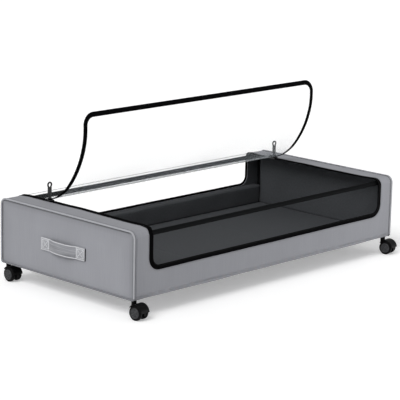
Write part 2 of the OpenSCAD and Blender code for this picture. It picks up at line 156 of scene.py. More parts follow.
class BoxSizes(bpy.types.PropertyGroup):
    tape_w: length("Zip tape width", "Width of the tape round the opening", 10.2, 6, 12)
    lid_tape_w: length("Lid tape width", "Width of the tape on the lid's sides", 10.0, 6, 12)
    free_tape_w: length("Free edge tape width", "Width of the tape on the lid's free edge", 10.5, 6, 14)
    lid_corner_r: length("Lid corner radius", "Radius of the lid's free corners", 27.0, 10, 40)
    piping_r: length("Piping radius", "Radius of the piping cord round each end", 1.9, 1, 4)
    panel_crown: length("Panel crown", "How far an end panel bellies out", 5.0, 0, 8)
    strap_w: length("Strap width", "Width of the carrying strap", 25.4, 15, 40)
    sheet_wave: length("Sheet ripple", "Height of the clear sheet's soft ripples", 1.2, 0, 4)


class BoxColours(bpy.types.PropertyGroup):
    cover: colour("Cover", "Colour of the polyester cover", "909196")
    cover_light: colour("Cover yarn", "Colour of the cover's lighter yarns", "9C9DA3")
    # painted paler than the cover, as the highlight along the piping cord
    piping: colour("Piping", "Colour of the piping cord's cloth", "AEAFB3")
    lining: colour("Lining", "Colour of the dark lining", "393B3E")
    # painted paler than the webbing, as highlights on its edges and folds
    strap: colour("Strap", "Colour of the webbing strap's edges", "C3C4C8")
    tape: colour("Zip tape", "Colour of the zip tape and teeth", "040405")
    tube: colour("Tube", "Colour of the powder coated tubes", "0D0E0F")
    wheel: colour("Wheel", "Colour of the moulded wheels", "0B0B0C")


def size(name):
    """A size setting, in millimetres."""
    return getattr(bpy.context.scene.box_sizes, name) / MM


def tint(name):
    """Linear RGBA of a colour setting, or of an sRGB hex code."""
    setting = getattr(bpy.context.scene.box_colours, name, None)
    return linear(name) if setting is None else tuple(setting)


# ------------------------------------------------------------------ nodes

def fill_in(owner, node, **inputs):
    """Sets a node's inputs to values, or links them to sockets. An input goes by its name,
    or by i and its number."""
    for key, value in inputs.items():
        socket = node.inputs[int(key[1:]) if key[1:].isdigit() else key.replace("_", " ")]
        if isinstance(value, bpy.types.NodeSocket):
            owner.node_tree.links.new(value, socket)
        else:
            socket.default_value = value


def add(owner, kind, settings=None, **inputs):
    """Adds one node to a material or world. Settings are its own properties."""
    node = owner.node_tree.nodes.new(kind)
    for key, value in (settings or {}).items():
        setattr(node, key, value)
    fill_in(owner, node, **inputs)
    return node


def cloth_place(mat, *scale):
    """The piece's own UV map, which is in metres, scaled along the cloth and across it."""
    uv = add(mat, "ShaderNodeUVMap", {"uv_map": "cloth"}).outputs["UV"]
    return add(mat, "ShaderNodeMapping", Vector=uv, Scale=(*scale, 1)).outputs["Vector"]


def per(millimetres):
    """Scale at which a noise or a grid repeats about every so many millimetres."""
    return 1 / (millimetres * MM)


def bands_per(millimetres):
    """Scale at which a wave texture's bands lie so many millimetres apart. The texture has
    20 radians to a unit."""
    return math.pi / (10 * millimetres * MM)


def dress(mat, height, relief, strength=1.0, **inputs):
    """Fills in the shader and bumps it by a height, whose relief is in millimetres."""
    bump = add(mat, "ShaderNodeBump", Strength=strength, Distance=relief * MM, Height=height)
    fill_in(mat, mat.node_tree.nodes["Principled BSDF"], Normal=bump.outputs["Normal"], **inputs)


# ------------------------------------------------------------------ materials

def woven(mat, dark, light, rough, relief, seams=None):
    """Plain weave: two crossed bands give a fine bump, at 0.7 mm, which is coarser than the
    real thread spacing so that it shows. Noise drawn out across the cloth mottles the
    colour: slubs 1.6 by 48 mm, and uneven dye 71 by 200 mm. Given seams, shade is painted on
    the cloth towards them, darkening it where the seam's shadow would fall."""
    count = bands_per(0.7)
    warp, weft = (
        add(mat, "ShaderNodeTexWave", {"bands_direction": direction}, Scale=1.0,
            Vector=cloth_place(mat, *scale)).outputs["Fac"]
        for direction, scale in (("X", (count, 1)), ("Y", (1, count))))
    cross = add(mat, "ShaderNodeMath", {"operation": "MULTIPLY"}, i0=warp, i1=weft).outputs[0]
    yarn, broad = (
        add(mat, "ShaderNodeTexNoise", Vector=cloth_place(mat, *scale), Scale=1.0,
            Detail=detail).outputs["Fac"]
        for scale, detail in (((per(1.6), per(48)), 3.0), ((per(71.43), per(200)), 2.0)))
    both = add(mat, "ShaderNodeMath", {"operation": "ADD"}, i0=yarn, i1=broad).outputs[0]
    spread = add(mat, "ShaderNodeMapRange", Value=both, From_Min=0.4, From_Max=1.6).outputs[0]
    cloth = add(mat, "ShaderNodeMix", {"data_type": "RGBA"}, Factor=spread,
                i6=tint(dark), i7=tint(light)).outputs[2]
    if seams:
        # paint shade on the cloth towards the seams
        cloth = add(mat, "ShaderNodeMix", {"data_type": "RGBA", "blend_type": "MULTIPLY"},
                    Factor=1.0, i6=cloth, i7=painted_seam_shade(mat, *seams)).outputs[2]
    height = add(mat, "ShaderNodeMath", {"operation": "MULTIPLY_ADD"}, i0=yarn, i1=0.35, i2=cross)
    dress(mat, height.outputs[0], relief, Base_Color=cloth, Roughness=rough, Sheen_Weight=0.15,
          Sheen_Roughness=0.4, Specular_IOR_Level=0.25)


def painted_seam_shade(mat, places, levels):
    """Painted shade: the cloth's grey level by its distance from the nearest seam. Each
    seam is (axis, place in mm, both sides or not); the levels are (distance in mm, grey) pairs."""
    place = add(mat, "ShaderNodeTexCoord").outputs["Object"]
    axes = add(mat, "ShaderNodeSeparateXYZ", Vector=place).outputs
    nearest = None
    for axis, at, both in places:
        here = axes[axis]
        if both:
            here = add(mat, "ShaderNodeMath", {"operation": "ABSOLUTE"}, i0=here).outputs[0]
        gap = add(mat, "ShaderNodeMath", {"operation": "SUBTRACT"}, i0=here, i1=at * MM).outputs[0]
        gap = add(mat, "ShaderNodeMath", {"operation": "ABSOLUTE"}, i0=gap).outputs[0]
        nearest = gap if nearest is None else add(
            mat, "ShaderNodeMath", {"operation": "MINIMUM"}, i0=nearest, i1=gap).outputs[0]
    reach = levels[-1][0]
    far = add(mat, "ShaderNodeMath", {"operation": "DIVIDE"}, i0=nearest, i1=reach * MM)
    ramp = add(mat, "ShaderNodeValToRGB", Fac=far.outputs[0])
    stops = ramp.color_ramp.elements
    while len(stops) < len(levels):
        stops.new(0.5)
    for stop, (distance, grey) in zip(stops, levels):
        stop.position = distance / reach
        stop.color = (grey, grey, grey, 1.0)
    return ramp.outputs["Color"]


def grained(mat, base, worn, grain, rough, relief, gloss=0.5, metallic=0.0):
    """A hard finish: noise at the grain's size bumps the surface, and patches 45 mm across
    turn its base colour to the worn one and roughen it a little, as handling does."""
    place = add(mat, "ShaderNodeTexCoord").outputs["Object"]
    fine, broad = (
        add(mat, "ShaderNodeTexNoise", Vector=place, Scale=scale, Detail=detail).outputs["Fac"]
        for scale, detail in ((per(grain), 2.0), (per(45.45), 4.0)))
    skin = tint(base)
    if worn != base:
        skin = add(mat, "ShaderNodeMix", {"data_type": "RGBA"}, Factor=broad,
                   i6=skin, i7=tint(worn)).outputs[2]
    dull = add(mat, "ShaderNodeMapRange", Value=broad, To_Min=rough - 0.06, To_Max=rough + 0.08)
    dress(mat, fine, relief, Base_Color=skin, Metallic=metallic, Roughness=dull.outputs[0],
          Specular_IOR_Level=gloss)


def spunbond(mat):
    """Dots pressed in a square grid, 2.6 mm apart, over the noise of furry fibres in tufts
    of 3.8 mm. Both are coarser than real ones, so that they show."""
    dots = add(mat, "ShaderNodeTexVoronoi", {"feature": "F1"}, Scale=1.0, Randomness=0.15,
               Vector=cloth_place(mat, per(2.6), per(2.6)))
    fibre = add(mat, "ShaderNodeTexNoise", Scale=1.0, Detail=5.0,
                Vector=cloth_place(mat, per(3.846), per(3.846)))
    cloth = add(mat, "ShaderNodeMix", {"data_type": "RGBA"}, Factor=fibre.outputs["Fac"],
                i6=tint("lining"), i7=tint("4A4C4F"))
    dress(mat, dots.outputs["Distance"], 0.12, Base_Color=cloth.outputs[2], Roughness=0.88,
          Specular_IOR_Level=0.25)


def ribbed(mat):
    """Ribs along the strap, 1.1 mm apart, and streaks of darker yarn 62 by 2.4 mm."""
    ribs = add(mat, "ShaderNodeTexWave", {"bands_direction": "Y"}, Scale=1.0,
               Vector=cloth_place(mat, 1, bands_per(1.1)))
    yarn = add(mat, "ShaderNodeTexNoise", Scale=1.0, Detail=3.0,
               Vector=cloth_place(mat, per(62.5), per(2.381)))
    streak = add(mat, "ShaderNodeMapRange", Value=yarn.outputs["Fac"], From_Min=0.35, From_Max=0.65)
    cloth = add(mat, "ShaderNodeMix", {"data_type": "RGBA"}, Factor=streak.outputs[0],
                i6=tint("7A7B80"), i7=tint("9C9DA2"))
    dress(mat, ribs.outputs["Fac"], 0.12, Base_Color=cloth.outputs[2], Roughness=0.6,
          Sheen_Weight=0.2)


def twill(mat):
    """Diagonal bands both colour the tape and bump it. The texture's diagonal has half its
    radians, so they lie 7 mm apart along the tape, coarser than real ones so as to show."""
    lines = add(mat, "ShaderNodeTexWave", {"bands_direction": "DIAGONAL"}, Scale=1.0,
                Vector=cloth_place(mat, bands_per(3.491), bands_per(3.491))).outputs["Fac"]
    cloth = add(mat, "ShaderNodeMix", {"data_type": "RGBA"}, Factor=lines,
                i6=tint("tape"), i7=tint("070708"))
    dress(mat, lines, 0.05, Base_Color=cloth.outputs[2], Roughness=0.75, Specular_IOR_Level=0.02)


def clear(mat, least, most):
    """Alpha that rises with the fifth power of the facing angle, from its least face on to
    its most edge on, so that the pale sheet paints its reflection edge on over a faint haze.
    A weak bump 111 mm across breaks up the reflections."""
    place = add(mat, "ShaderNodeTexCoord").outputs["Object"]
    cloud = add(mat, "ShaderNodeTexNoise", Vector=place, Scale=per(111.1), Detail=2.0)
    edge_on = add(mat, "ShaderNodeLayerWeight", Blend=0.5).outputs["Facing"]
    steep = add(mat, "ShaderNodeMath", {"operation": "POWER"}, i0=edge_on, i1=5.0)
    haze_and_reflection = add(mat, "ShaderNodeMapRange", Value=steep.outputs[0], To_Min=least, To_Max=most)
    dress(mat, cloud.outputs["Fac"], 1.0, 0.3, Alpha=haze_and_reflection.outputs[0], Base_Color=tint("E3EAF0"),
          Roughness=0.15)


# Each finish is its maker and the maker's values. For woven: dark and light yarn, roughness,
# relief, seams with painted shade. For grained: base and worn colour, grain, roughness, relief,
# gloss, metallic.
# Sizes are in mm, and a colour is a hex code or the name of a colour setting.
FINISHES = {
    # grey 600 denier oxford cloth: matt, with a fine weave and faint slubs, and shade painted
    # beside the end piping
    "oxford_polyester": (woven, "cover", "cover_light", 0.8, 0.04, (
        [(0, WRAP_X, True)], [(0, 0.55), (1.6, 0.6), (4, 0.95), (40, 1.0)])),
    # the same cloth on the end panels, with shade painted along the piping at the sides and top,
    # fading over 40 mm
    "panel_polyester": (woven, "cover", "cover_light", 0.8, 0.04, (
        [(1, HALF_W, True), (2, TOP_Z, False)],
        [(0, 0.25), (3.8, 0.36), (6.8, 0.8), (16, 0.93), (40, 1.0)])),
    # the same cloth stretched round the piping cord, painted paler as the light it catches
    "piping_cloth": (woven, "A0A1A6", "piping", 0.7, 0.03),
    # the piping's run along the bottom, painted darker as the shade under the box's lower edge
    "piping_shade": (woven, "737478", "7F8085", 0.8, 0.03),
    # dark spunbond lining: dull and a little furry
    "nonwoven_lining": (spunbond,),
    # light grey polyester strap webbing, woven in ribs: a soft sheen
    "polyester_webbing": (ribbed,),
    # the webbing's selvedges and folded ends, which are denser, painted paler as highlights
    "webbing_edge": (grained, "strap", "D2D3D6", 0.8, 0.6, 0.05),
    # the webbing's heat sealed end faces: dull, and painted dark as the shadow at the strap's ends
    "webbing_cut": (grained, "1E1F21", "2A2B2D", 0.8, 0.8, 0.05),
    # the sewn pads, where the webbing is double and pulled flat
    "webbing_pad": (grained, "999A9F", "A9AAAE", 1.4, 0.65, 0.06),
    # bonded polyester thread on the straps and the cover: a soft gloss and a tight twist
    "strap_thread": (grained, "DADBDE", "DADBDE", 0.5, 0.5, 0.03),
    "seam_thread": (grained, "6F7075", "6F7075", 0.5, 0.5, 0.03),
    # black polyester zip tape: almost no sheen
    "zip_tape_cloth": (twill,),
    # black nylon zip coil: smooth, slightly glossy
    "nylon_coil": (grained, "tape", "070708", 0.6, 0.5, 0.02, 0.08),
    # clear flexible PVC of the lid: almost invisible face on, and a cool pale reflection painted edge on
    "clear_pvc": (clear, 0.02, 0.8),
    # the same sheet where it is stretched flat, with less painted reflection
    "clear_fixed_pvc": (clear, 0.006, 0.04),
    # pressed fold lines of the clear sheet, where it whitens
    "welded_crease": (grained, "8E9296", "A9ADB0", 0.8, 0.4, 0.02),
    # black powder coat on steel tube: satin, with a light orange peel
    "powder_coat": (grained, "tube", "121314", 1.6, 0.62, 0.03, 0.03),
    # black injection moulded nylon: satin with a spark-eroded grain
    "moulded_nylon": (grained, "060607", "0A0A0B", 0.8, 0.45, 0.03, 0.1),
    # hard black wheel: dull on the tread, where rolling has scuffed it
    "wheel_nylon": (grained, "050506", "wheel", 1.2, 0.5, 0.04, 0.08),
    # discs in the wheels' faces: satin, and painted charcoal, lighter than the black wheel,
    # as the highlight on their domes
    "wheel_cap": (grained, "2A2B2D", "3A3B3D", 0.8, 0.42, 0.03, 0.3),
    # bright zinc plate on steel pins and plates
    "zinc_plate": (grained, "9A9CA0", "B6B8BB", 0.7, 0.36, 0.02, 0.5, 1.0),
    # black lacquered zinc die casting of the zip sliders and pull tabs
    "black_zinc": (grained, "121214", "1C1C1F", 0.6, 0.36, 0.03),
}
MADE = {}


def finish(name):
    """The material with that name, made once."""
    if name not in MADE:
        maker, *values = FINISHES[name]
        MADE[name] = bpy.data.materials.new(name)
        MADE[name].use_nodes = True
        maker(MADE[name], *values)
    return MADE[name]


# ------------------------------------------------------------------ mesh tools

def rows_of(points):
    """Quads of a grid of points, as rows of four vertex numbers: a point, the next one in
    its row, and the same two in the row below."""
    rows, cols = points.shape[:2]
    a = np.arange((rows - 1) * cols).reshape(rows - 1, cols)[:, :-1]
    return np.stack([a, a + 1, a + cols + 1, a + cols], -1).reshape(-1, 4)


def build(name, patches, *finishes, merge=0.02):
    """Makes one mesh of several grids. Each patch is (points in mm, uv in mm, flip,
    material number). Doubles closer than merge are joined, so seams and loops close."""
    verts, quads, uvs, slots = [], [], [], []
    count = 0
    for points, uv, flip, slot in patches:
        faces = rows_of(points)
        if flip:
            faces = faces[:, ::-1]
        verts.append(points.reshape(-1, 3))
        uvs.append(uv.reshape(-1, 2)[faces.ravel()])
        quads.append(faces + count)
        slots.append(np.full(len(faces), slot))
        count += points.shape[0] * points.shape[1]
    mesh = bpy.data.meshes.new(name)
    mesh.from_pydata((np.concatenate(verts) * MM).tolist(), [], np.concatenate(quads).tolist())
    layer = mesh.uv_layers.new(name="cloth")
    layer.data.foreach_set("uv", (np.concatenate(uvs) * MM).astype(np.float32).ravel())
    mesh.polygons.foreach_set("material_index", np.concatenate(slots).astype(np.int32))
    work = bmesh.new()
    work.from_mesh(mesh)
    bmesh.ops.remove_doubles(work, verts=work.verts, dist=merge * MM)
    bmesh.ops.dissolve_degenerate(work, dist=1e-7, edges=work.edges)
    work.to_mesh(mesh)
    work.free()
    mesh.polygons.foreach_set("use_smooth", np.full(len(mesh.polygons), True))
    for each in finishes:
        mesh.materials.append(finish(each))
    return put(name, mesh)


def put(name, data):
    """An object of a mesh, lamp or camera, put into the scene."""
    thing = bpy.data.objects.new(name, data)
    bpy.context.scene.collection.objects.link(thing)
    return thing


def seat_on(piece, body, slot, *nodes):
    """Rides a piece on its body and hides the nodes it stands for. The slot is not used."""
    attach(piece, body)
    if nodes:
        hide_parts(*nodes)


def thicken(piece, thickness, offset=-1.0, inner=0, rim=True):
    """Gives a skin a wall, inwards by default; inner adds to the inner faces' material."""
    wall = piece.modifiers.new("wall", "SOLIDIFY")
    wall.thickness = thickness * MM
    wall.offset = offset
    wall.material_offset = inner
    wall.use_rim = rim


def steps(*stops):
    """Even steps from each place to the next: steps(a, 3, b, 5, c) goes from a to b in
    three steps and on to c in five."""
    spans = zip(stops[:-2:2], stops[1::2], stops[2::2])
    return np.concatenate([stops[:1], *(np.linspace(a, b, n + 1)[1:] for a, n, b in spans)])


def smoothstep(a, b, value):
    """0 below a, 1 above b and a smooth rise between: 3 t² - 2 t³ of the way t."""
    t = np.clip((value - a) / (b - a), 0, 1)
    return t * t * (3 - 2 * t)


def unit(vectors):
    """Vectors divided by their length."""
    return vectors / np.maximum(np.linalg.norm(vectors, axis=-1, keepdims=True), 1e-9)


def oval(count, wide, high):
    """Closed profile of an ellipse: the cosine and sine of an even turn."""
    turn = np.linspace(0, 2 * np.pi, count + 1)[:-1]
    return np.stack([wide * np.cos(turn), high * np.sin(turn)], 1)


def swept(path, side, up, profile):
    """Carries a closed profile of (across, height) pairs along a path. Each row of the
    result is one point of the path plus across times side and height times up."""
    profile = np.vstack([profile, profile[:1]])
    side, up = (np.broadcast_to(axis, path.shape)[:, None] for axis in (side, up))
    return path[:, None] + side * profile[None, :, :1] + up * profile[None, :, 1:]


def run_lengths(points):
    """Distance along a row of points: the running sum of its steps."""
    gaps = np.linalg.norm(np.diff(points, axis=0), axis=1)
    return np.concatenate([[0], np.cumsum(gaps)])


def capped(points):
    """Closes both ends of a swept tube by collapsing an extra row to its middle."""
    first = np.broadcast_to(points[0, :-1].mean(0), points[0].shape)
    last = np.broadcast_to(points[-1, :-1].mean(0), points[-1].shape)
    return np.concatenate([first[None], points, last[None]])


def swept_uv(points):
    """Flat coordinates of a swept tube: along its length, and around its profile."""
    rows = run_lengths(points[:, 0])
    cols = run_lengths(points[min(2, len(points) - 1)])
    return np.stack(np.broadcast_arrays(rows[:, None], cols[None, :]), -1)


def rod(path, side, up, profile, flip=False, slot=0):
    """A patch of a profile swept along a path, with both ends closed."""
    points = capped(swept(path, side, up, profile))
    return points, swept_uv(points), flip, slot


def beads(centres, along, across, up, bead):
    """Patches of small eight-sided beads, one at each centre, stretched to bead = (long,
    wide, high). Each is three rings between two poles: the sine of the latitude along it,
    and the latitude's cosine times the cosine and sine of a turn across it and up."""
    turn = np.linspace(0, 2 * np.pi, 9)
    latitude = np.linspace(-np.pi / 2, np.pi / 2, 5)[:, None]
    shape = np.stack(np.broadcast_arrays(
        np.sin(latitude), np.cos(latitude) * np.cos(turn), np.cos(latitude) * np.sin(turn)), -1)
    axes = np.stack([along, across, up], 1)
    grids = centres[:, None, None] + np.einsum("rck,nkd->nrcd", shape * (np.array(bead) / 2), axes)
    flat = np.zeros((5, 9, 2))
    return [(grid, flat, False, 0) for grid in grids]


def bead_row(line, normals, gap, bead):
    """Beads at even places along a line, turned along it and up along its normals, which
    are both found between the line's points in proportion."""
    distance = run_lengths(line)
    places = np.interp(np.arange(gap / 2, distance[-1], gap), distance, np.arange(len(line)))
    low = np.clip(np.floor(places).astype(int), 0, len(line) - 2)
    part = (places - low)[:, None]
    centres, up, along = (
        rows[low] * (1 - part) + rows[low + 1] * part
        for rows in (line, normals, unit(np.gradient(line, axis=0))))
    up, along = unit(up), unit(along)
    return beads(centres, along, np.cross(up, along), up, bead)


# ------------------------------------------------------------------ the cover's surface

# The outline across the box is a circle whose centre, radius and angle change linearly
# between its knots. The girth s is the distance round it, up the front from the bottom's
# edge, over the top, down the back and under.
UPRIGHT = TOP_Z - BASE_Z - EDGE_R - BASE_R
ARC, BASE_ARC = EDGE_R * math.pi / 2, BASE_R * math.pi / 2
EDGE_Y, BASE_Y = HALF_W - EDGE_R, HALF_W - BASE_R
EDGE_MID_Z, BASE_MID_Z = TOP_Z - EDGE_R, BASE_Z + BASE_R
KNOT_S = np.cumsum([0, UPRIGHT, ARC, 2 * EDGE_Y, ARC, UPRIGHT, BASE_ARC, 2 * BASE_Y, BASE_ARC])
# where each part ends: front, front edge, top, back edge, back, back base, base, front base
S_FRONT, S_TOP, S_REAR, S_BACK, S_UNDER, S_BASE, S_FORE, GIRTH = KNOT_S[1:]
OUTLINE = (
    [-BASE_Y, -EDGE_Y, -EDGE_Y, EDGE_Y, EDGE_Y, BASE_Y, BASE_Y, -BASE_Y, -BASE_Y],
    [BASE_MID_Z, *[EDGE_MID_Z] * 4, *[BASE_MID_Z] * 4],
    [BASE_R, *[EDGE_R] * 4, *[BASE_R] * 4],
    [180, 180, 90, 90, 0, 0, -90, -90, -180])
SILL_S = SILL_Z - BASE_MID_Z              # the front window's lower edge
BACK_SILL_S = S_UNDER - SILL_S


def cover_point(x, s, out=0.0):
    """A point on the cover at x and at girth s, moved out along the surface's normal: the
    circle's centre plus its radius, with out added, times its angle's cosine and sine."""
    cy, cz, r, turn = (np.interp(np.mod(s, GIRTH), KNOT_S, knots) for knots in OUTLINE)
    x, cy, cz, r, turn, out = np.broadcast_arrays(x, cy, cz, r, np.radians(turn), out)
    return np.stack([x, cy + (r + out) * np.cos(turn), cz + (r + out) * np.sin(turn)], -1)


def cover_normal(s):
    """The cover's outward direction at girth s: the cosine and sine of the circle's angle."""
    turn = np.radians(np.interp(np.mod(s, GIRTH), KNOT_S, OUTLINE[3]))
    return np.stack([np.zeros_like(turn), np.cos(turn), np.sin(turn)], -1)


def slack(x, s):
    """How far the stretched cloth lies out of its outline: a sum of three products and
    sines of long waves, which fades towards the piping and at the sharp edges so that
    tape and piping stay seated, less a bell-shaped dip beside the piping."""
    gap = WRAP_X - np.abs(x)
    corner = 1 - sum(np.exp(-((np.mod(s, GIRTH) - knot) / 14) ** 2) for knot in KNOT_S[1:5])
    wave = (np.sin(x / 61 + 1.3) * np.sin(s / 47 + 0.4) + 0.7 * np.sin(x / 23 + s / 31)
            + 0.5 * np.sin(x / 37 - s / 15 + 2.0))
    dip = SEAM_DIP * np.exp(-(gap / 3.5) ** 2)
    return -0.35 - dip + 0.33 * wave * smoothstep(0, 30, gap) * np.clip(corner, 0, 1)


def panel_face(side, y, z):
    """X of an end panel's face. It starts sunk beside the piping, rises within some 12 mm
    of it by an exponential and bellies out by one less the fourth power of the distance
    from the middle, in both directions, with soft waves and small puckers by the seam."""
    rim = np.minimum(HALF_W - np.abs(y), np.minimum(z - BASE_Z, TOP_Z - z))
    u, v = y / HALF_W, (z - BASE_Z) / (TOP_Z - BASE_Z) * 2 - 1
    rise = 1 - np.exp(-np.clip(rim - 1, 0, None) / 5)
    belly = (1 - u ** 4) * (1 - v ** 4)
    wave = 0.4 * np.sin(y / 44 + 0.5) * np.sin(z / 31 + side) + 0.2 * np.sin(y / 19 - z / 27)
    pucker = 0.25 * np.exp(-rim / 9) * smoothstep(8, 16, rim)
    pucker = pucker * np.sin(y / 4.2 + 3 * np.sin(z / 40) + z / 5)
    return side * (PANEL_X - 2.6 + 2.2 * rise + (size("panel_crown") + wave - 0.6) * belly + pucker)


def flare(s):
    """Half width of the opening at girth s: smooth steps from the top's to the windows'."""
    s = np.mod(s, GIRTH)
    front = smoothstep(S_TOP + 25, S_FRONT + 2, s)
    back = smoothstep(S_REAR - 25, S_BACK - 2, s)
    return EDGE_X + WINDOW_FLARE * np.maximum(front, back)


def opening_path(step=4.0):
    """The opening's edge in the cover's flat pattern, closed: a rectangle of x and girth
    with round corners, whose long sides follow the flare. Returns its points and, square
    to its tangent, the inward direction at each."""
    low, high = SILL_S - TAPE_LAP, BACK_SILL_S + TAPE_LAP
    r, half = WINDOW_R, flare(low)
    side_n = int((high - low - 2 * r) / step)
    sill_n = int(2 * (half - r) / 12)
    turn = np.linspace(0, np.pi / 2, 13)
    x = np.concatenate([np.linspace(-(half - r), half - r, sill_n), half - r + r * np.sin(turn),
                        np.full(side_n, half), half - r + r * np.cos(turn)])
    s = np.concatenate([np.full(sill_n, low), low + r - r * np.cos(turn),
                        np.linspace(low + r, high - r, side_n), high - r + r * np.sin(turn)])
    x, s = np.concatenate([x, -x]), np.concatenate([s, low + high - s])
    keep = np.concatenate([[True], np.hypot(np.diff(x), np.diff(s)) > 1e-6])
    x, s = x[keep], s[keep]
    x = np.sign(x) * np.minimum(np.abs(x), np.abs(x) * flare(s) / half)
    ring = np.stack([x, s], 1)
    tangent = unit(np.roll(ring, -1, 0) - np.roll(ring, 1, 0))
    inward = np.stack([-tangent[:, 1], tangent[:, 0]], 1)
    return np.vstack([ring, ring[:1]]), np.vstack([inward, inward[:1]])


def ring_patch(profile):
    """Lays a closed profile of (inward distance, height) on the cover along the opening."""
    ring, inward = opening_path()
    profile = np.vstack([profile, profile[:1]])
    x, s = np.moveaxis(ring[:, None] + inward[:, None] * profile[None, :, :1], -1, 0)
    points = cover_point(x, s, profile[None, :, 1] + slack(x, s))
    along = run_lengths(cover_point(*ring.T))
    return points, np.stack(np.broadcast_arrays(along[:, None], run_lengths(profile)[None]), -1)


def fabric_limit(s):
    """Inner edge of the cover's fabric at girth s, under the tape: the flare's half width,
    less a circle's rise where the window's corner rounds."""
    s = np.mod(s, GIRTH)
    r = WINDOW_R - TAPE_LAP
    rise = np.clip(np.minimum(s - SILL_S, BACK_SILL_S - s), 0, r)
    return flare(s) - TAPE_LAP - r + np.sqrt(np.maximum(r * r - (r - rise) ** 2, 0))


def cover_patch(x, s, flip):
    """The slack cloth over a grid of x and girth."""
    x, s = np.broadcast_arrays(x, s)
    return cover_point(x, s, slack(x, s)), np.stack([x, s], -1), flip, 0


def sewn_row(flat, lift, gap, bead):
    """Beads on the cover along a line of (x, girth) pairs, lifted off the slack cloth."""
    x, s = flat.T
    return bead_row(cover_point(x, s, slack(x, s) + lift), cover_normal(s), gap, bead)


# ------------------------------------------------------------------ the lid's surface

CREASE = np.array([[-0.8, 0], [-0.4, 0.35], [0.4, 0.35], [0.8, 0], [0, -0.3]])
# the lid tape's outline: share of its width inward, and height in half thicknesses
LID_TAPE = np.array([[0, 0], [0.02, 1.7], [0.12, 1.9], [0.22, 0.9], [0.3, 0.6], [0.9, 0.5], [1, 0],
                     [0.9, -0.6], [0.3, -0.6], [0.12, -0.9], [0.02, -0.8]])
LID_TAPE_HALF = 0.8


def lid_curve(places):
    """The lid's curve in the YZ plane: its angle above the horizontal grows linearly from
    the middle of one strip to the next. Its steps shrink by half the turn over the tangent
    of half the turn, so the curve touches every strip in its middle. Returns y, z and the
    angle in radians."""
    hinges = LID_HINGES[:, 1:]
    slopes = [math.atan2(b[1] - a[1], a[0] - b[0]) for a, b in zip(hinges, hinges[1:])]
    slopes = [0.0, *slopes, slopes[-1] + LAST_RISE]
    mids = (np.arange(-1, STRIP_N) + 0.5) * STRIP_L
    fine = np.linspace(mids[0], LID_END, 600)
    angle = np.interp(fine, [*mids, LID_END], [*slopes, slopes[-1] + 0.07])
    part = ((fine[1:] - mids[0]) // STRIP_L).astype(int)
    half_turn = np.append(np.diff(slopes), 0.002)[np.minimum(part, STRIP_N)] / 2
    step = (fine[1] - fine[0]) * half_turn / np.tan(half_turn)
    mean = (angle[1:] + angle[:-1]) / 2
    y = FOLD_Y - mids[0] - np.concatenate([[0], np.cumsum(np.cos(mean) * step)])
    z = LID_START_Z + np.concatenate([[0], np.cumsum(np.sin(mean) * step)])
    return np.interp(places, fine, y), np.interp(places, fine, z), np.interp(places, fine, angle)


def lid_point(x, t, out=0.0):
    """A point of the lid at x and at distance t from its fold, moved out to its upper side
    by the sine and cosine of the curve's angle."""
    x, y, z, angle, out = np.broadcast_arrays(x, *lid_curve(t), out)
    return np.stack([x, y + out * np.sin(angle), z + out * np.cos(angle)], -1)


def lid_ripple(x, t):
    """Soft ripples of the clear sheet: two sines that die away at its taped edges."""
    edge = (smoothstep(0, 60, LID_HALF - np.abs(x)) * smoothstep(LID_END, LID_END - 50, t)
            * smoothstep(-10, 40, t))
    return size("sheet_wave") * edge * (np.sin(x / 73 + t / 60) + 0.6 * np.sin(x / 41 - t / 35 + 1.0))


def lid_half(t, inset):
    """Half width of the lid at t, less an inset, with a circle's fall at its free corners."""
    r = max(size("lid_corner_r") - inset, 1.0)
    fall = np.clip(r - np.clip(LID_END - inset - t, 0, None), 0, r)
    return LID_HALF - inset - (r - np.sqrt(np.maximum(r * r - fall * fall, 0)))


# ------------------------------------------------------------------ operators

class Piece:
    """Shared by the operators, which read the scene's own settings."""

    bl_options = {"REGISTER", "UNDO"}


class BOX_OT_cover(Piece, bpy.types.Operator):
    """Grey cover of the long sides, the end margins and the bottom, lined on the inside"""

    bl_idname = "storage_box.cover"
    bl_label = "Cover"

    def execute(self, context):
        """Grids of x and girth: one at each end reaches in from the piping to the fabric's
        edge, and two more join them across the back's and the front's lower parts."""
        corner = SILL_S + WINDOW_R * (1 - np.cos(np.linspace(0.05, 1, 14) * np.pi / 2))
        up = np.concatenate([steps(0, 8, SILL_S), corner, steps(
            SILL_S + WINDOW_R + 3, 9, S_FRONT, 8, S_TOP, 25, (S_TOP + S_REAR) / 2)])
        under = steps(S_UNDER, 4, S_BASE, 19, S_FORE, 4, GIRTH)[1:]
        rows = np.concatenate([up, S_UNDER - up[::-1][1:], under])
        across = steps(0, 5, 0.2, 11, 1)
        open_row = (rows >= SILL_S) & (rows <= BACK_SILL_S)
        limit = np.where(open_row, fabric_limit(rows), fabric_limit(SILL_S))[:, None]
        patches = [cover_patch(side * (WRAP_X + (limit - WRAP_X) * across), rows[:, None], side > 0)
                   for side in (-1, 1)]
        for part in (rows[rows >= BACK_SILL_S - 1e-6], rows[rows <= SILL_S + 1e-6]):
            x = np.linspace(-1, 1, 61) * fabric_limit(SILL_S)
            patches.append(cover_patch(x, part[:, None], False))
        piece = build("cover", patches, "oxford_polyester", "nonwoven_lining")
        thicken(piece, COVER_WALL, inner=1)
        seat_on(piece, "box", "cover_fabric", "wrap_end_left", "wrap_end_right", "wrap_front",
                "wrap_back", "wrap_bottom")
        return {"FINISHED"}


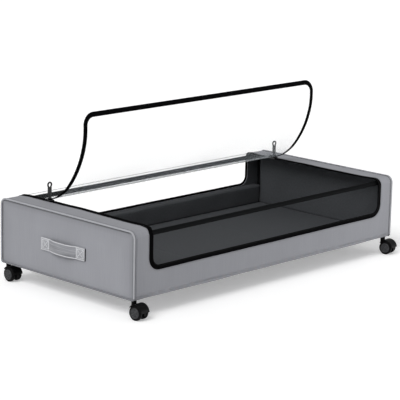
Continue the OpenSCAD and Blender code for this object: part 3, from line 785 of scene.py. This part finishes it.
class BOX_OT_ends(Piece, bpy.types.Operator):
    """End panels that belly out a little, with piping cord sewn round each"""

    bl_idname = "storage_box.ends"
    bl_label = "End panels and piping"

    def execute(self, context):
        """A grid of width and height on the panel's face. Its half width falls by a circle
        at the rounded corners, and its columns crowd by a sine towards the rim."""
        inset, above_base = 1.2, 2.2
        quarter = np.pi / 2
        rows = np.concatenate([
            BASE_Z + BASE_R * (1 - np.cos(np.linspace(0, 1, 9) * quarter)),
            steps(BASE_MID_Z, 39, EDGE_MID_Z)[1:],
            EDGE_MID_Z + EDGE_R * np.sin(np.linspace(0, 1, 14)[1:] * quarter)])
        drop = np.clip((rows - EDGE_MID_Z) / EDGE_R, 0, 1)
        rise = np.clip((BASE_MID_Z - rows) / BASE_R, 0, 1)
        half = (HALF_W - EDGE_R * (1 - np.sqrt(1 - drop ** 2))
                - BASE_R * (1 - np.sqrt(1 - rise ** 2))) - inset
        y = half[:, None] * np.sin(np.linspace(-1, 1, 121) * quarter)
        z = np.clip(rows, BASE_Z + above_base, TOP_Z - inset)[:, None] + 0 * y
        for side, name in ((-1, "left"), (1, "right")):
            points = np.stack([panel_face(side, y, z), y, z], -1)
            piece = build(f"end_panel_cloth_{name}", [(points, np.stack([y, z], -1), side < 0, 0)],
                          "panel_polyester")
            thicken(piece, PANEL_WALL)
            seat_on(piece, "box", "cover_fabric", f"end_panel_{name}")
            self.piping(side, name)
        return {"FINISHED"}

    def piping(self, side, name):
        """A cord swept round the outline, half sunk between the panel and the wrap, and
        deeper along the bottom. Its cloth has a painted highlight, and painted shade along the bottom."""
        s = steps(0, 24, S_FRONT, 10, S_TOP, 60, S_REAR, 10, S_BACK, 24, S_UNDER, 6, S_BASE, 60,
                  S_FORE, 6, GIRTH)
        normal = cover_normal(s)
        r = size("piping_r")
        sink = (r / 2 + 0.4) * np.minimum(normal[:, 2], 0) - r / 2
        path = cover_point(side * (HALF_L - r), s, sink)
        points = swept(path, [side, 0, 0], normal, oval(12, r, r))
        flat = swept_uv(points)
        low = int(np.searchsorted(s, S_UNDER + 4))
        patches = [(points[:low + 1], flat[:low + 1], side > 0, 0),
                   (points[low:], flat[low:], side > 0, 1)]
        piece = build(f"piping_{name}", patches, "piping_cloth", "piping_shade")
        seat_on(piece, "box", "cover_fabric", "end_piping")


class BOX_OT_tape(Piece, bpy.types.Operator):
    """Zip tape round the whole opening, with coil teeth along its inner edge"""

    bl_idname = "storage_box.tape"
    bl_label = "Zip tape"

    def execute(self, context):
        """A profile laid round the opening, and a row of beads inside its inner edge."""
        w = size("tape_w")
        profile = np.array([
            [0, 0.1], [0.6, 0.9], [2.4, 1.0], [3.0, 0.7], [3.6, 1.0], [w - 2.6, 1.1], [w - 2.2, 1.7],
            [w - 0.6, 1.7], [w, 1.1], [w, -0.3], [w / 2, -0.4], [0, -0.3]])
        piece = build("zip_tape", [(*ring_patch(profile), True, 0)], "zip_tape_cloth")
        seat_on(piece, "box", "zip_tape", "zip_track")
        ring, inward = opening_path(step=2.0)
        teeth = sewn_row(ring + inward * (w - 1.2), 1.5, TOOTH_GAP, TOOTH)
        seat_on(build("zip_coil", teeth, "nylon_coil", merge=0.001), "box", "zip_tape")
        return {"FINISHED"}


class BOX_OT_clear_back(Piece, bpy.types.Operator):
    """Fixed clear sheet over the back window and the rear of the top"""

    bl_idname = "storage_box.clear_back"
    bl_label = "Fixed clear sheet"

    def execute(self, context):
        """A grid of x and girth from the fold to the back sill. It widens to the lid and
        lifts to its height at the fold, and sinks in dents, which are a sine, elsewhere."""
        fold_s = S_TOP + FOLD_Y + STRIP_L / 2 + EDGE_Y
        rows = steps(fold_s, 23, S_REAR, 8, S_BACK, 17, BACK_SILL_S - 1)
        lift = 0.45
        gap = size("tape_w") - 0.6
        half = np.minimum(flare(rows) - gap, fabric_limit(rows) + TAPE_LAP - gap)
        join = smoothstep(fold_s + 25, fold_s, rows)
        half = half + (LID_HALF - LID_INSET - half) * join
        x = half[:, None] * np.linspace(-1, 1, 81)
        s = rows[:, None] + 0 * x
        edge = smoothstep(0, 50, half[:, None] - np.abs(x))
        drop = smoothstep(fold_s, fold_s + 20, s) * edge
        dent = 1.6 * drop * (0.5 + 0.5 * np.sin(x / 95 + s / 40)) * smoothstep(0, 12, np.abs(s - S_BACK))
        points = cover_point(x, s, lift - dent + (LID_START_Z - TOP_Z - lift) * join[:, None])
        piece = build("clear_back_sheet", [(points, np.stack([x, s], -1), True, 0)], "clear_fixed_pvc")
        thicken(piece, SHEET_WALL, 0.0, rim=False)
        seat_on(piece, "box", "clear_pvc", "rear_sheet")
        self.crease()
        return {"FINISHED"}

    def crease(self):
        """The line pressed into the sheet where it turns over the back top edge."""
        s = S_REAR + ARC / 2
        x = np.linspace(-1, 1, 41) * (flare(s) - size("tape_w"))
        line = cover_point(x, s, 0.5)
        down = [0, math.sqrt(0.5), -math.sqrt(0.5)]
        piece = build("back_crease", [rod(line, down, cover_normal(s), CREASE)], "welded_crease")
        seat_on(piece, "box", "clear_pvc")


class BOX_OT_lid(Piece, bpy.types.Operator):
    """Clear lid standing in a curve, with black tape on its sides and free edge"""

    bl_idname = "storage_box.lid"
    bl_label = "Clear lid"

    def execute(self, context):
        for k in range(STRIP_N + 1):
            self.clear_part(k)
            self.tape_part(k)
        self.crease()
        return {"FINISHED"}

    def crease(self):
        """The pressed line along the lid's fold."""
        x = np.linspace(-1, 1, 61) * (LID_HALF - LID_INSET)
        line = lid_point(x, 0.0, 0.1)
        piece = build("fold_crease", [rod(line, [0, 1, 0], [0, 0, 1], CREASE)], "welded_crease")
        self.join(piece, 0, "clear_pvc")

    def span(self, k):
        """Where part k starts and ends: from the middle of one strip to the next's."""
        return (k - 0.5) * STRIP_L, min((k + 0.5) * STRIP_L, LID_END)

    def join(self, piece, k, slot):
        """Bakes part k's transform into its mesh; the last part alone rides on the last body. The
        slot is not used.
        """
        bodies = ["box"] + [f"lid_{i + 1}" for i in range(STRIP_N)]
        low, high = self.span(k)
        if k == STRIP_N:
            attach(piece, bodies[k])
        else:
            start, end = lid_point(0.0, np.array([low, high]))
            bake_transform(piece)

    def clear_part(self, k):
        """The clear sheet over one span: a grid of x and t on the lid's curve, rippled."""
        low, high = self.span(k)
        rows = np.linspace(low, high - (LID_INSET if k == STRIP_N else 0), 13)
        half = lid_half(rows, LID_INSET)
        x = half[:, None] * np.linspace(-1, 1, 101)
        t = rows[:, None] + 0 * x
        points = lid_point(x, t, lid_ripple(x, t))
        piece = build(f"lid_clear_{k}", [(points, np.stack([x, t], -1), False, 0)], "clear_pvc")
        thicken(piece, SHEET_WALL, 0.0, rim=False)
        self.join(piece, k, "clear_pvc")
        if k:
            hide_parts(f"lid_sheet_{k}")

    def tape_part(self, k):
        """One span's tape on both sides, or the free edge's, with its coil teeth."""
        low, high = self.span(k)
        rings = [self.free_edge(low)] if k == STRIP_N else [
            self.side_edge(side, np.linspace(low, high, 15)) for side in (-1, 1)]
        tapes, teeth = [], []
        profile = np.vstack([LID_TAPE, LID_TAPE[:1]])
        for ring, inward, width in rings:
            flat = ring[:, None] + inward[:, None] * (profile[None, :, :1] * width[:, None, None])
            points = capped(lid_point(flat[..., 0], flat[..., 1], profile[None, :, 1] * LID_TAPE_HALF))
            tapes.append((points, swept_uv(points), inward[0, 0] < 0, 0))
            middle = ring + inward * 1.2
            angle = lid_curve(middle[:, 1])[2]
            normals = np.stack([0 * angle, np.sin(angle), np.cos(angle)], 1)
            teeth += bead_row(lid_point(*middle.T), normals, TOOTH_GAP, LID_TOOTH)
        piece = build(f"lid_edge_{k}", tapes, "zip_tape_cloth")
        self.join(piece, k, "zip_tape")
        if k:
            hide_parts(f"lid_tape_{k}")
        self.join(build(f"lid_coil_{k}", teeth, "nylon_coil", merge=0.001), k, "zip_tape")

    def side_edge(self, side, t):
        """A side's edge, its inward direction square to it, and the tape's width."""
        ring = np.stack([side * lid_half(t, 0.0), t], 1)
        tangent = unit(np.gradient(ring, axis=0))
        inward = side * np.stack([-tangent[:, 1], tangent[:, 0]], 1)
        return ring, inward, np.full(len(t), size("lid_tape_w"))

    def free_edge(self, low):
        """The free edge as one U: up one side, round the corner, across and back down."""
        w, r = size("lid_tape_w"), size("lid_corner_r")
        bend = LID_END - r
        straight = np.linspace(low, bend, 6)[:-1] if low < bend else np.zeros(0)
        turn = np.linspace(math.asin(min(max((low - bend) / r, 0), 1)), np.pi / 2, 15)
        bar_x = np.linspace(r - LID_HALF, LID_HALF - r, 60)[1:-1]
        x = np.concatenate([np.full(len(straight), -LID_HALF), r - LID_HALF - r * np.cos(turn)])
        t = np.concatenate([straight, bend + r * np.sin(turn)])
        x = np.concatenate([x, bar_x, -x[::-1]])
        t = np.concatenate([t, np.full(len(bar_x), LID_END), t[::-1]])
        ring = np.stack([x, t], 1)
        tangent = unit(np.gradient(ring, axis=0))
        inward = np.stack([tangent[:, 1], -tangent[:, 0]], 1)
        return ring, inward, w + (size("free_tape_w") - w) * smoothstep(LID_END - r, LID_END, t)


class BOX_OT_straps(Piece, bpy.types.Operator):
    """Webbing straps whose ends are folded under and sewn down with a box and a cross"""

    bl_idname = "storage_box.straps"
    bl_label = "Carrying straps"

    def execute(self, context):
        """A flat profile carried along the strap's middle line, as wide as the strap and as
        thick as it is there, with cords along its edges and rolls across its folds."""
        half = size("strap_w") / 2
        profile = np.array([[-1, -1], [-1.03, 0], [-1, 1], [1, 1], [1.03, 0], [1, -1], [-1, -1]])
        up = np.array([0.0, 0.0, 1.0])
        plain, edge, shaded_end, pad = range(4)
        for side, name in ((-1, "left"), (1, "right")):
            path, face, thick, inner = self.lay(side, name)
            points = (path[:, None] + up * profile[None, :, :1] * half
                      + face[:, None] * profile[None, :, 1:] * thick[:, None, None])
            flat = swept_uv(points)
            left, right = np.searchsorted(path[:, 1], (-inner, inner))
            patches = [(points[a:b + 1], flat[a:b + 1], side > 0, slot) for a, b, slot in (
                (0, left, pad), (left, right, plain), (right, len(path) - 1, pad))]
            ends = capped(points)
            # both end faces, painted dark as the shadow at the strap's ends
            patches += [(rows, np.zeros((2, 7, 2)), side > 0, shaded_end) for rows in (ends[:2], ends[-2:])]
            for rim in (-1, 1):
                line = path + up * rim * (half - 0.9) + face * thick[:, None]
                patches.append(rod(line, up, face, oval(8, 1.0, 0.45), side > 0, edge))
            for end in (-1, 1):
                for at in (path[-1, 1] - 1.6, inner + 0.8):
                    row = int(np.argmin(np.abs(path[:, 1] - end * at)))
                    patches.append(self.fold(path[row], face[row], thick[row], half, edge))
            piece = build(f"strap_{name}", patches, "polyester_webbing", "webbing_edge", "webbing_cut",
                          "webbing_pad")
            seat_on(piece, "box", "strap_webbing", f"handle_{name}")
            self.stitch(side, name, path, thick, inner)
        return {"FINISHED"}

    def lay(self, side, name):
        """The strap's middle line, outward direction and half thickness. Its ends lie on
        the panel and are double; between them it bows out by one less a power of the
        distance from its middle."""
        low, high = box_mm(f"handle_{name}")
        reach = high[1]
        inner = reach - 25
        bow = (high[0] if side > 0 else -low[0]) - PANEL_X
        y = np.linspace(-reach, reach, 121)
        z = (low[2] + high[2]) / 2 + 0 * y
        arch = np.clip(1 - (np.abs(y) / inner) ** 2.8, 0, 1)
        thick = 0.9 + 0.7 * smoothstep(inner - 2, inner + 1, np.abs(y))
        panel = side * panel_face(side, y, z) + thick + 0.1
        out = panel + (PANEL_X + bow - 1.4 - panel) * arch
        path = np.stack([side * out, y, z], 1)
        face = unit(np.cross(unit(np.gradient(path, axis=0)), [0.0, 0.0, 1.0])) * side
        return path, face, thick, inner

    def fold(self, middle, face, thick, half, slot):
        """A thicker roll across the strap, where its end is folded under, painted pale as a highlight."""
        line = middle + face * thick + np.linspace(-half, half, 9)[:, None] * [0, 0, 1]
        return rod(line, np.cross([0.0, 0.0, 1.0], face), face, oval(8, 0.9, 0.45), True, slot)

    def stitch(self, side, name, path, thick, inner):
        """A sewn box with a cross in it on each pad: beads in straight lines."""
        h = size("strap_w") / 2 - 4
        patches = []
        for end in (-1, 1):
            a, b = end * (inner + 3), end * (path[-1, 1] - 4)
            corners = [(a, -h), (b, -h), (b, h), (a, h), (a, -h), (b, h), (b, -h), (a, h)]
            for (y0, z0), (y1, z1) in zip(corners, corners[1:]):
                count = max(int(math.hypot(y1 - y0, z1 - z0) / STRAP_STITCH_GAP), 2)
                step = (np.arange(count) + 0.5) / count
                y, z = y0 + (y1 - y0) * step, z0 + (z1 - z0) * step
                x = np.interp(y, path[:, 1], path[:, 0] + side * thick)
                centres = np.stack([x, y, path[0, 2] + z], 1)
                along = unit(np.broadcast_to([0.0, y1 - y0, z1 - z0], centres.shape))
                up = np.broadcast_to([float(side), 0.0, 0.0], centres.shape)
                patches += beads(centres, along, np.cross(up, along), up, STRAP_STITCH)
        piece = build(f"strap_stitch_{name}", patches, "strap_thread", merge=0.001)
        seat_on(piece, "box", "strap_webbing")


class BOX_OT_lining(Piece, bpy.types.Operator):
    """Dark lining inside the ends and long sides, and the cloth covered floor board"""

    bl_idname = "storage_box.lining"
    bl_label = "Lining and floor"

    def execute(self, context):
        self.walls()
        self.sides()
        self.floor()
        return {"FINISHED"}

    def walls(self):
        """Each end's lining: a flat grid with sines of soft unevenness towards its middle."""
        low, high = box_mm("lining_ends")
        y = np.linspace(low[1], high[1], 61) + np.zeros((25, 1))
        z = np.linspace(low[2], high[2], 25)[:, None] + 0 * y
        soft = np.sin(np.pi * (z - low[2]) / (high[2] - low[2]))
        patches = []
        for side in (-1, 1):
            wave = 0.7 * np.sin(y / 28 + side) + 0.5 * np.sin(y / 11 + z / 19)
            x = side * (high[0] - 1.0 + soft * wave)
            patches.append((np.stack([x, y, z], -1), np.stack([y, z], -1), side > 0, 0))
        piece = build("end_lining", patches, "nonwoven_lining")
        thicken(piece, LINING_WALL, 0.0)
        seat_on(piece, "box", "lining_fabric", "lining_ends")

    def sides(self):
        """Each side lining rises from the floor, rounds over and reaches out to the sill."""
        low, high = box_mm("lining_sides")
        r = 5.0
        inner, top = box_mm("lining_ends")[1][1] + 1.1, high[2] - 0.6
        turn = np.linspace(0, np.pi / 2, 7)
        y_row = np.concatenate([np.full(9, inner), inner + r * (1 - np.cos(turn))[1:],
                                steps(inner + r, 4, HALF_W - 2.2)[1:]])
        z_row = np.concatenate([steps(low[2], 8, top - r), top - r + r * np.sin(turn)[1:],
                                np.full(4, top)])
        x = np.linspace(low[0], high[0], 121) + 0 * y_row[:, None]
        soft = np.sin(np.linspace(0, np.pi, len(y_row)))[:, None]
        y = y_row[:, None] + soft * (0.8 * np.sin(x / 33) + 0.5 * np.sin(x / 13 + 1))
        z = z_row[:, None] + 0 * x
        up = run_lengths(np.stack([y_row, z_row], 1))[:, None] + 0 * x
        patches = [(np.stack([x, side * y, z], -1), np.stack([x, up], -1), side < 0, 0)
                   for side in (-1, 1)]
        piece = build("side_lining", patches, "nonwoven_lining")
        thicken(piece, LINING_WALL, 0.0)
        seat_on(piece, "box", "lining_fabric", "lining_sides")

    def floor(self):
        """A flat board with rounded edges and two bell-shaped fold grooves across it."""
        low, high = box_mm("floor_board")
        half_x, half_y = high[0] - 0.4, high[1] - 0.4
        x, y = np.meshgrid(half_x * np.linspace(-1, 1, 181), half_y * np.linspace(-1, 1, 61))
        rim = np.minimum(half_x - np.abs(x), half_y - np.abs(y))
        roll = (high[2] - low[2]) * 0.5 * np.clip(1 - rim / 2.5, 0, 1) ** 2
        groove = sum(np.exp(-((x - c) / 2.2) ** 2) for c in (-half_x / 3, half_x / 3))
        z = high[2] - roll - 0.9 * groove + 0.15 * np.sin(x / 37) * np.sin(y / 29)
        top = np.stack([x, y, z], -1)
        under = np.stack([x, y, np.minimum(low[2] + roll, z)], -1)
        flat = np.stack([x, y], -1)
        piece = build("floor_pad", [(top, flat, False, 0), (under, flat, True, 0)], "nonwoven_lining",
                      merge=0.05)
        seat_on(piece, "box", "floor_board", "floor_board")


class BOX_OT_hardware(Piece, bpy.types.Operator):
    """Finishes of the tubes, connectors, casters, sliders and pull tabs"""

    bl_idname = "storage_box.hardware"
    bl_label = "Tubes, casters and zip metal"

    def execute(self, context):
        """Each solid that stays in view takes the finish of its material slot."""
        finishes = {
            "black_tube": "powder_coat", "black_moulding": "moulded_nylon",
            "wheel_tread": "wheel_nylon", "zinc_steel": "zinc_plate", "black_zinc": "black_zinc"}
        slots = {part["node"]: part["material_slot"] for part in frame["record"]["subparts"]}
        for name, node in frame["nodes"].items():
            if slots[name] in finishes:
                node.data.materials.clear()
                node.data.materials.append(finish(finishes[slots[name]]))
        return {"FINISHED"}


class BOX_OT_wheels(Piece, bpy.types.Operator):
    """Twin wheels turned in the round: tread, rim, groove and a domed disc in each face"""

    bl_idname = "storage_box.wheels"
    bl_label = "Wheels"

    def execute(self, context):
        """Two profiles of radius and height for each wheel, turned about its axle. Inside
        and outside are the faces' distances from the middle of the caster."""
        level = next(j for j in frame["joints"] if j["child"] == "wheel_back_left_a")
        faces = np.array([corner[0] for corner in box_mm("wheel_back_left_a")])
        inside, outside = np.sort(np.abs(faces - level["pos_m"][0] / MM))
        for joint in frame["joints"]:
            name = joint["child"]
            if not name.startswith("wheel_"):
                continue
            low, high = box_mm(name)
            centre, axis = np.array(joint["pos_m"]) / MM, np.array(joint["axis"])
            axis = axis * np.sign(np.dot((low + high) / 2 - centre, axis))
            r = (high[2] - low[2]) / 2
            # radius and height, from the hub out over the tread and in to the disc
            tread = np.array([
                [2.6, inside + 0.3], [r - 3.6, inside + 0.3], [r - 3.4, inside], [r - 1.4, inside],
                [r - 0.4, inside + 0.5], [r, inside + 1.5], [r, outside - 3.2],
                [r - 0.4, outside - 2.2], [r - 1.3, outside - 1.6], [r - 3.0, outside - 1.2],
                [r - 3.6, outside - 1.5], [r - 4.2, outside - 2.0]])
            # radius, height below the face and the depth of the six moulded windows
            disc = np.array([
                [r - 4.2, 2.0, 0], [r - 4.6, 0.6, 0], [r - 5.1, 0.3, 0], [r - 5.8, 0.3, 0],
                [r - 6.3, 0.3, 1.3], [r - 7.5, 0.3, 1.5], [r - 8.8, 0.3, 1.5], [5.2, 0.3, 1.3],
                [4.7, 0.2, 0], [4.2, 0.1, 0], [3.0, 0.1, 0], [2.7, 0.7, 0], [1.9, 0.7, 0],
                [1.6, 0, 0], [0, 0, 0]])
            disc[:, 1] = outside - disc[:, 1]
            patches = [self.turned(part, centre, axis, slot) for slot, part in enumerate((tread, disc))]
            piece = build(f"turned_{name}", patches, "wheel_nylon", "wheel_cap", merge=0.005)
            seat_on(piece, name, "wheel_tread", name)
        return {"FINISHED"}

    def turned(self, profile, centre, axis, slot):
        """Turns a profile of (radius, height) about the axis. Where it also has a depth, the
        face sinks by that between six spokes."""
        turn = np.linspace(0, 2 * np.pi, 97)
        height = profile[:, 1:2] + 0 * turn
        if profile.shape[1] > 2:
            height = height - profile[:, 2:] * smoothstep(-0.75, -0.35, np.cos(6 * turn))
        side = np.array([-axis[1], axis[0], 0.0])
        radial = side * np.cos(turn)[:, None] + np.array([0, 0, 1.0]) * np.sin(turn)[:, None]
        points = centre + height[..., None] * axis + profile[:, None, :1] * radial[None]
        flat = np.broadcast_arrays(profile[:, :1] * turn, run_lengths(profile)[:, None])
        return points, np.stack(flat, -1), True, slot


class BOX_OT_stitching(Piece, bpy.types.Operator):
    """Topstitching beside the zip tape and along the piping"""

    bl_idname = "storage_box.stitching"
    bl_label = "Topstitching"

    def execute(self, context):
        """Rows of beads 2.2 mm outside the tape and 5 mm inside the piping."""
        ring, inward = opening_path(step=3.0)
        girth = np.linspace(0, S_UNDER, 300)
        lines = [ring - inward * 2.2]
        lines += [np.stack([np.full(300, side * (WRAP_X - 5.0)), girth], 1) for side in (-1, 1)]
        patches = [each for line in lines for each in sewn_row(line, 0.1, STITCH_GAP, STITCH)]
        seat_on(build("topstitching", patches, "seam_thread", merge=0.001), "box", "cover_fabric")
        return {"FINISHED"}


class BOX_OT_stage(Piece, bpy.types.Operator):
    """Pale floor, soft studio light and the camera"""

    bl_idname = "storage_box.stage"
    bl_label = "Stage"

    def execute(self, context):
        self.floor()
        self.world()
        # one broad lamp from the left and above, as wide as a softbox
        self.lamp("softbox", "SUN", (0, 0, 0), -Vector(SUN_FROM), energy=SUN_POWER,
                  angle=math.radians(SUN_ANGLE))
        # a weak panel lamp low at the right, which lifts that end of the front
        self.lamp("fill", "AREA", FILL_AT, Vector(FILL_AIM) - Vector(FILL_AT), energy=FILL_POWER,
                  shape="RECTANGLE", size=FILL_SIZE[0], size_y=FILL_SIZE[1])
        self.camera()
        context.scene.view_settings.view_transform = "Standard"
        return {"FINISHED"}

    def seen_by(self, owner, *rays):
        """1 where one of the kinds of ray looks, otherwise 0: the greatest of them."""
        first, *others = (add(owner, "ShaderNodeLightPath").outputs[f"Is {ray} Ray"] for ray in rays)
        for other in others:
            first = add(owner, "ShaderNodeMath", {"operation": "MAXIMUM"}, i0=first, i1=other).outputs[0]
        return first

    def floor(self):
        """A wide square of white paper, which glows a little where it is looked at."""
        mesh = bpy.data.meshes.new("stage_floor")
        r = FLOOR_HALF
        mesh.from_pydata([(-r, -r, 0), (r, -r, 0), (r, r, 0), (-r, r, 0)], [], [(0, 1, 2, 3)])
        floor = put("stage_floor", mesh)
        mat = bpy.data.materials.new("white_paper_floor")
        mat.use_nodes = True
        glow = add(mat, "ShaderNodeMath", {"operation": "MULTIPLY"},
                   i0=self.seen_by(mat, "Camera", "Transmission", "Glossy"), i1=FLOOR_GLOW)
        fill_in(mat, mat.node_tree.nodes["Principled BSDF"], Base_Color=linear("F4F4F4"),
                Roughness=0.9, Specular_IOR_Level=0.1, Emission_Color=(1, 1, 1, 1),
                Emission_Strength=glow.outputs[0])
        mesh.materials.append(mat)

    def world(self):
        """White where it is looked at. As a light it is brighter at the horizon than overhead."""
        world = bpy.data.worlds.new("studio")
        bpy.context.scene.world = world
        world.use_nodes = True
        place = add(world, "ShaderNodeTexCoord").outputs["Generated"]
        height = add(world, "ShaderNodeSeparateXYZ", Vector=place).outputs["Z"]
        sky = add(world, "ShaderNodeMapRange", Value=height, To_Min=WORLD_LIGHT[0],
                  To_Max=WORLD_LIGHT[1])
        level = add(world, "ShaderNodeMapRange", Value=self.seen_by(world, "Camera", "Transmission"),
                    To_Min=sky.outputs[0], To_Max=1.0)
        fill_in(world, world.node_tree.nodes["Background"], Color=(1, 1, 1, 1),
                Strength=level.outputs[0])

    def lamp(self, name, kind, at, ahead, **settings):
        """A lamp at a place, turned to look ahead."""
        data = bpy.data.lights.new(name, kind)
        for key, value in settings.items():
            setattr(data, key, value)
        rig = put(name, data)
        rig.location = at
        rig.rotation_mode = "QUATERNION"
        rig.rotation_quaternion = ahead.to_track_quat("-Z", "Y")

    def camera(self):
        """The camera at its place, turned to its target and then rolled: its side and top
        are the level ones turned by the roll."""
        data = bpy.data.cameras.new("camera")
        data.sensor_width = 36.0
        data.lens = CAMERA_LENS
        data.clip_end = 200
        eye, aim = Vector(CAMERA_EYE), Vector(CAMERA_AIM)
        ahead = (aim - eye).normalized()
        right = ahead.cross(Vector((0, 0, 1))).normalized()
        up = right.cross(ahead)
        roll = math.radians(CAMERA_ROLL)
        side = right * math.cos(roll) + up * math.sin(roll)
        top = -right * math.sin(roll) + up * math.cos(roll)
        camera = put("camera", data)
        turned = Matrix((side, top, -ahead)).transposed()
        camera.matrix_world = Matrix.Translation(eye) @ turned.to_4x4()
        bpy.context.scene.camera = camera


class BOX_PT_panel(bpy.types.Panel):
    """Lists the box's pieces in the 3D view's sidebar"""

    bl_idname = "BOX_PT_panel"
    bl_label = "Storage Box"
    bl_space_type = "VIEW_3D"
    bl_region_type = "UI"
    bl_category = "Storage Box"

    def draw(self, context):
        for operator in OPERATORS:
            self.layout.operator(operator.bl_idname)


OPERATORS = (BOX_OT_stage, BOX_OT_hardware, BOX_OT_wheels, BOX_OT_cover, BOX_OT_ends, BOX_OT_tape,
             BOX_OT_clear_back, BOX_OT_lid, BOX_OT_straps, BOX_OT_lining, BOX_OT_stitching)
CLASSES = (BoxSizes, BoxColours, *OPERATORS, BOX_PT_panel)


def register():
    for cls in CLASSES:
        bpy.utils.register_class(cls)
    bpy.types.Scene.box_sizes = bpy.props.PointerProperty(type=BoxSizes)
    bpy.types.Scene.box_colours = bpy.props.PointerProperty(type=BoxColours)


def unregister():
    del bpy.types.Scene.box_sizes
    del bpy.types.Scene.box_colours
    for cls in reversed(CLASSES):
        bpy.utils.unregister_class(cls)


def main():
    register()
    for operator in OPERATORS:
        family, verb = operator.bl_idname.split(".")
        getattr(getattr(bpy.ops, family), verb)()


if __name__ == "__main__":
    main()
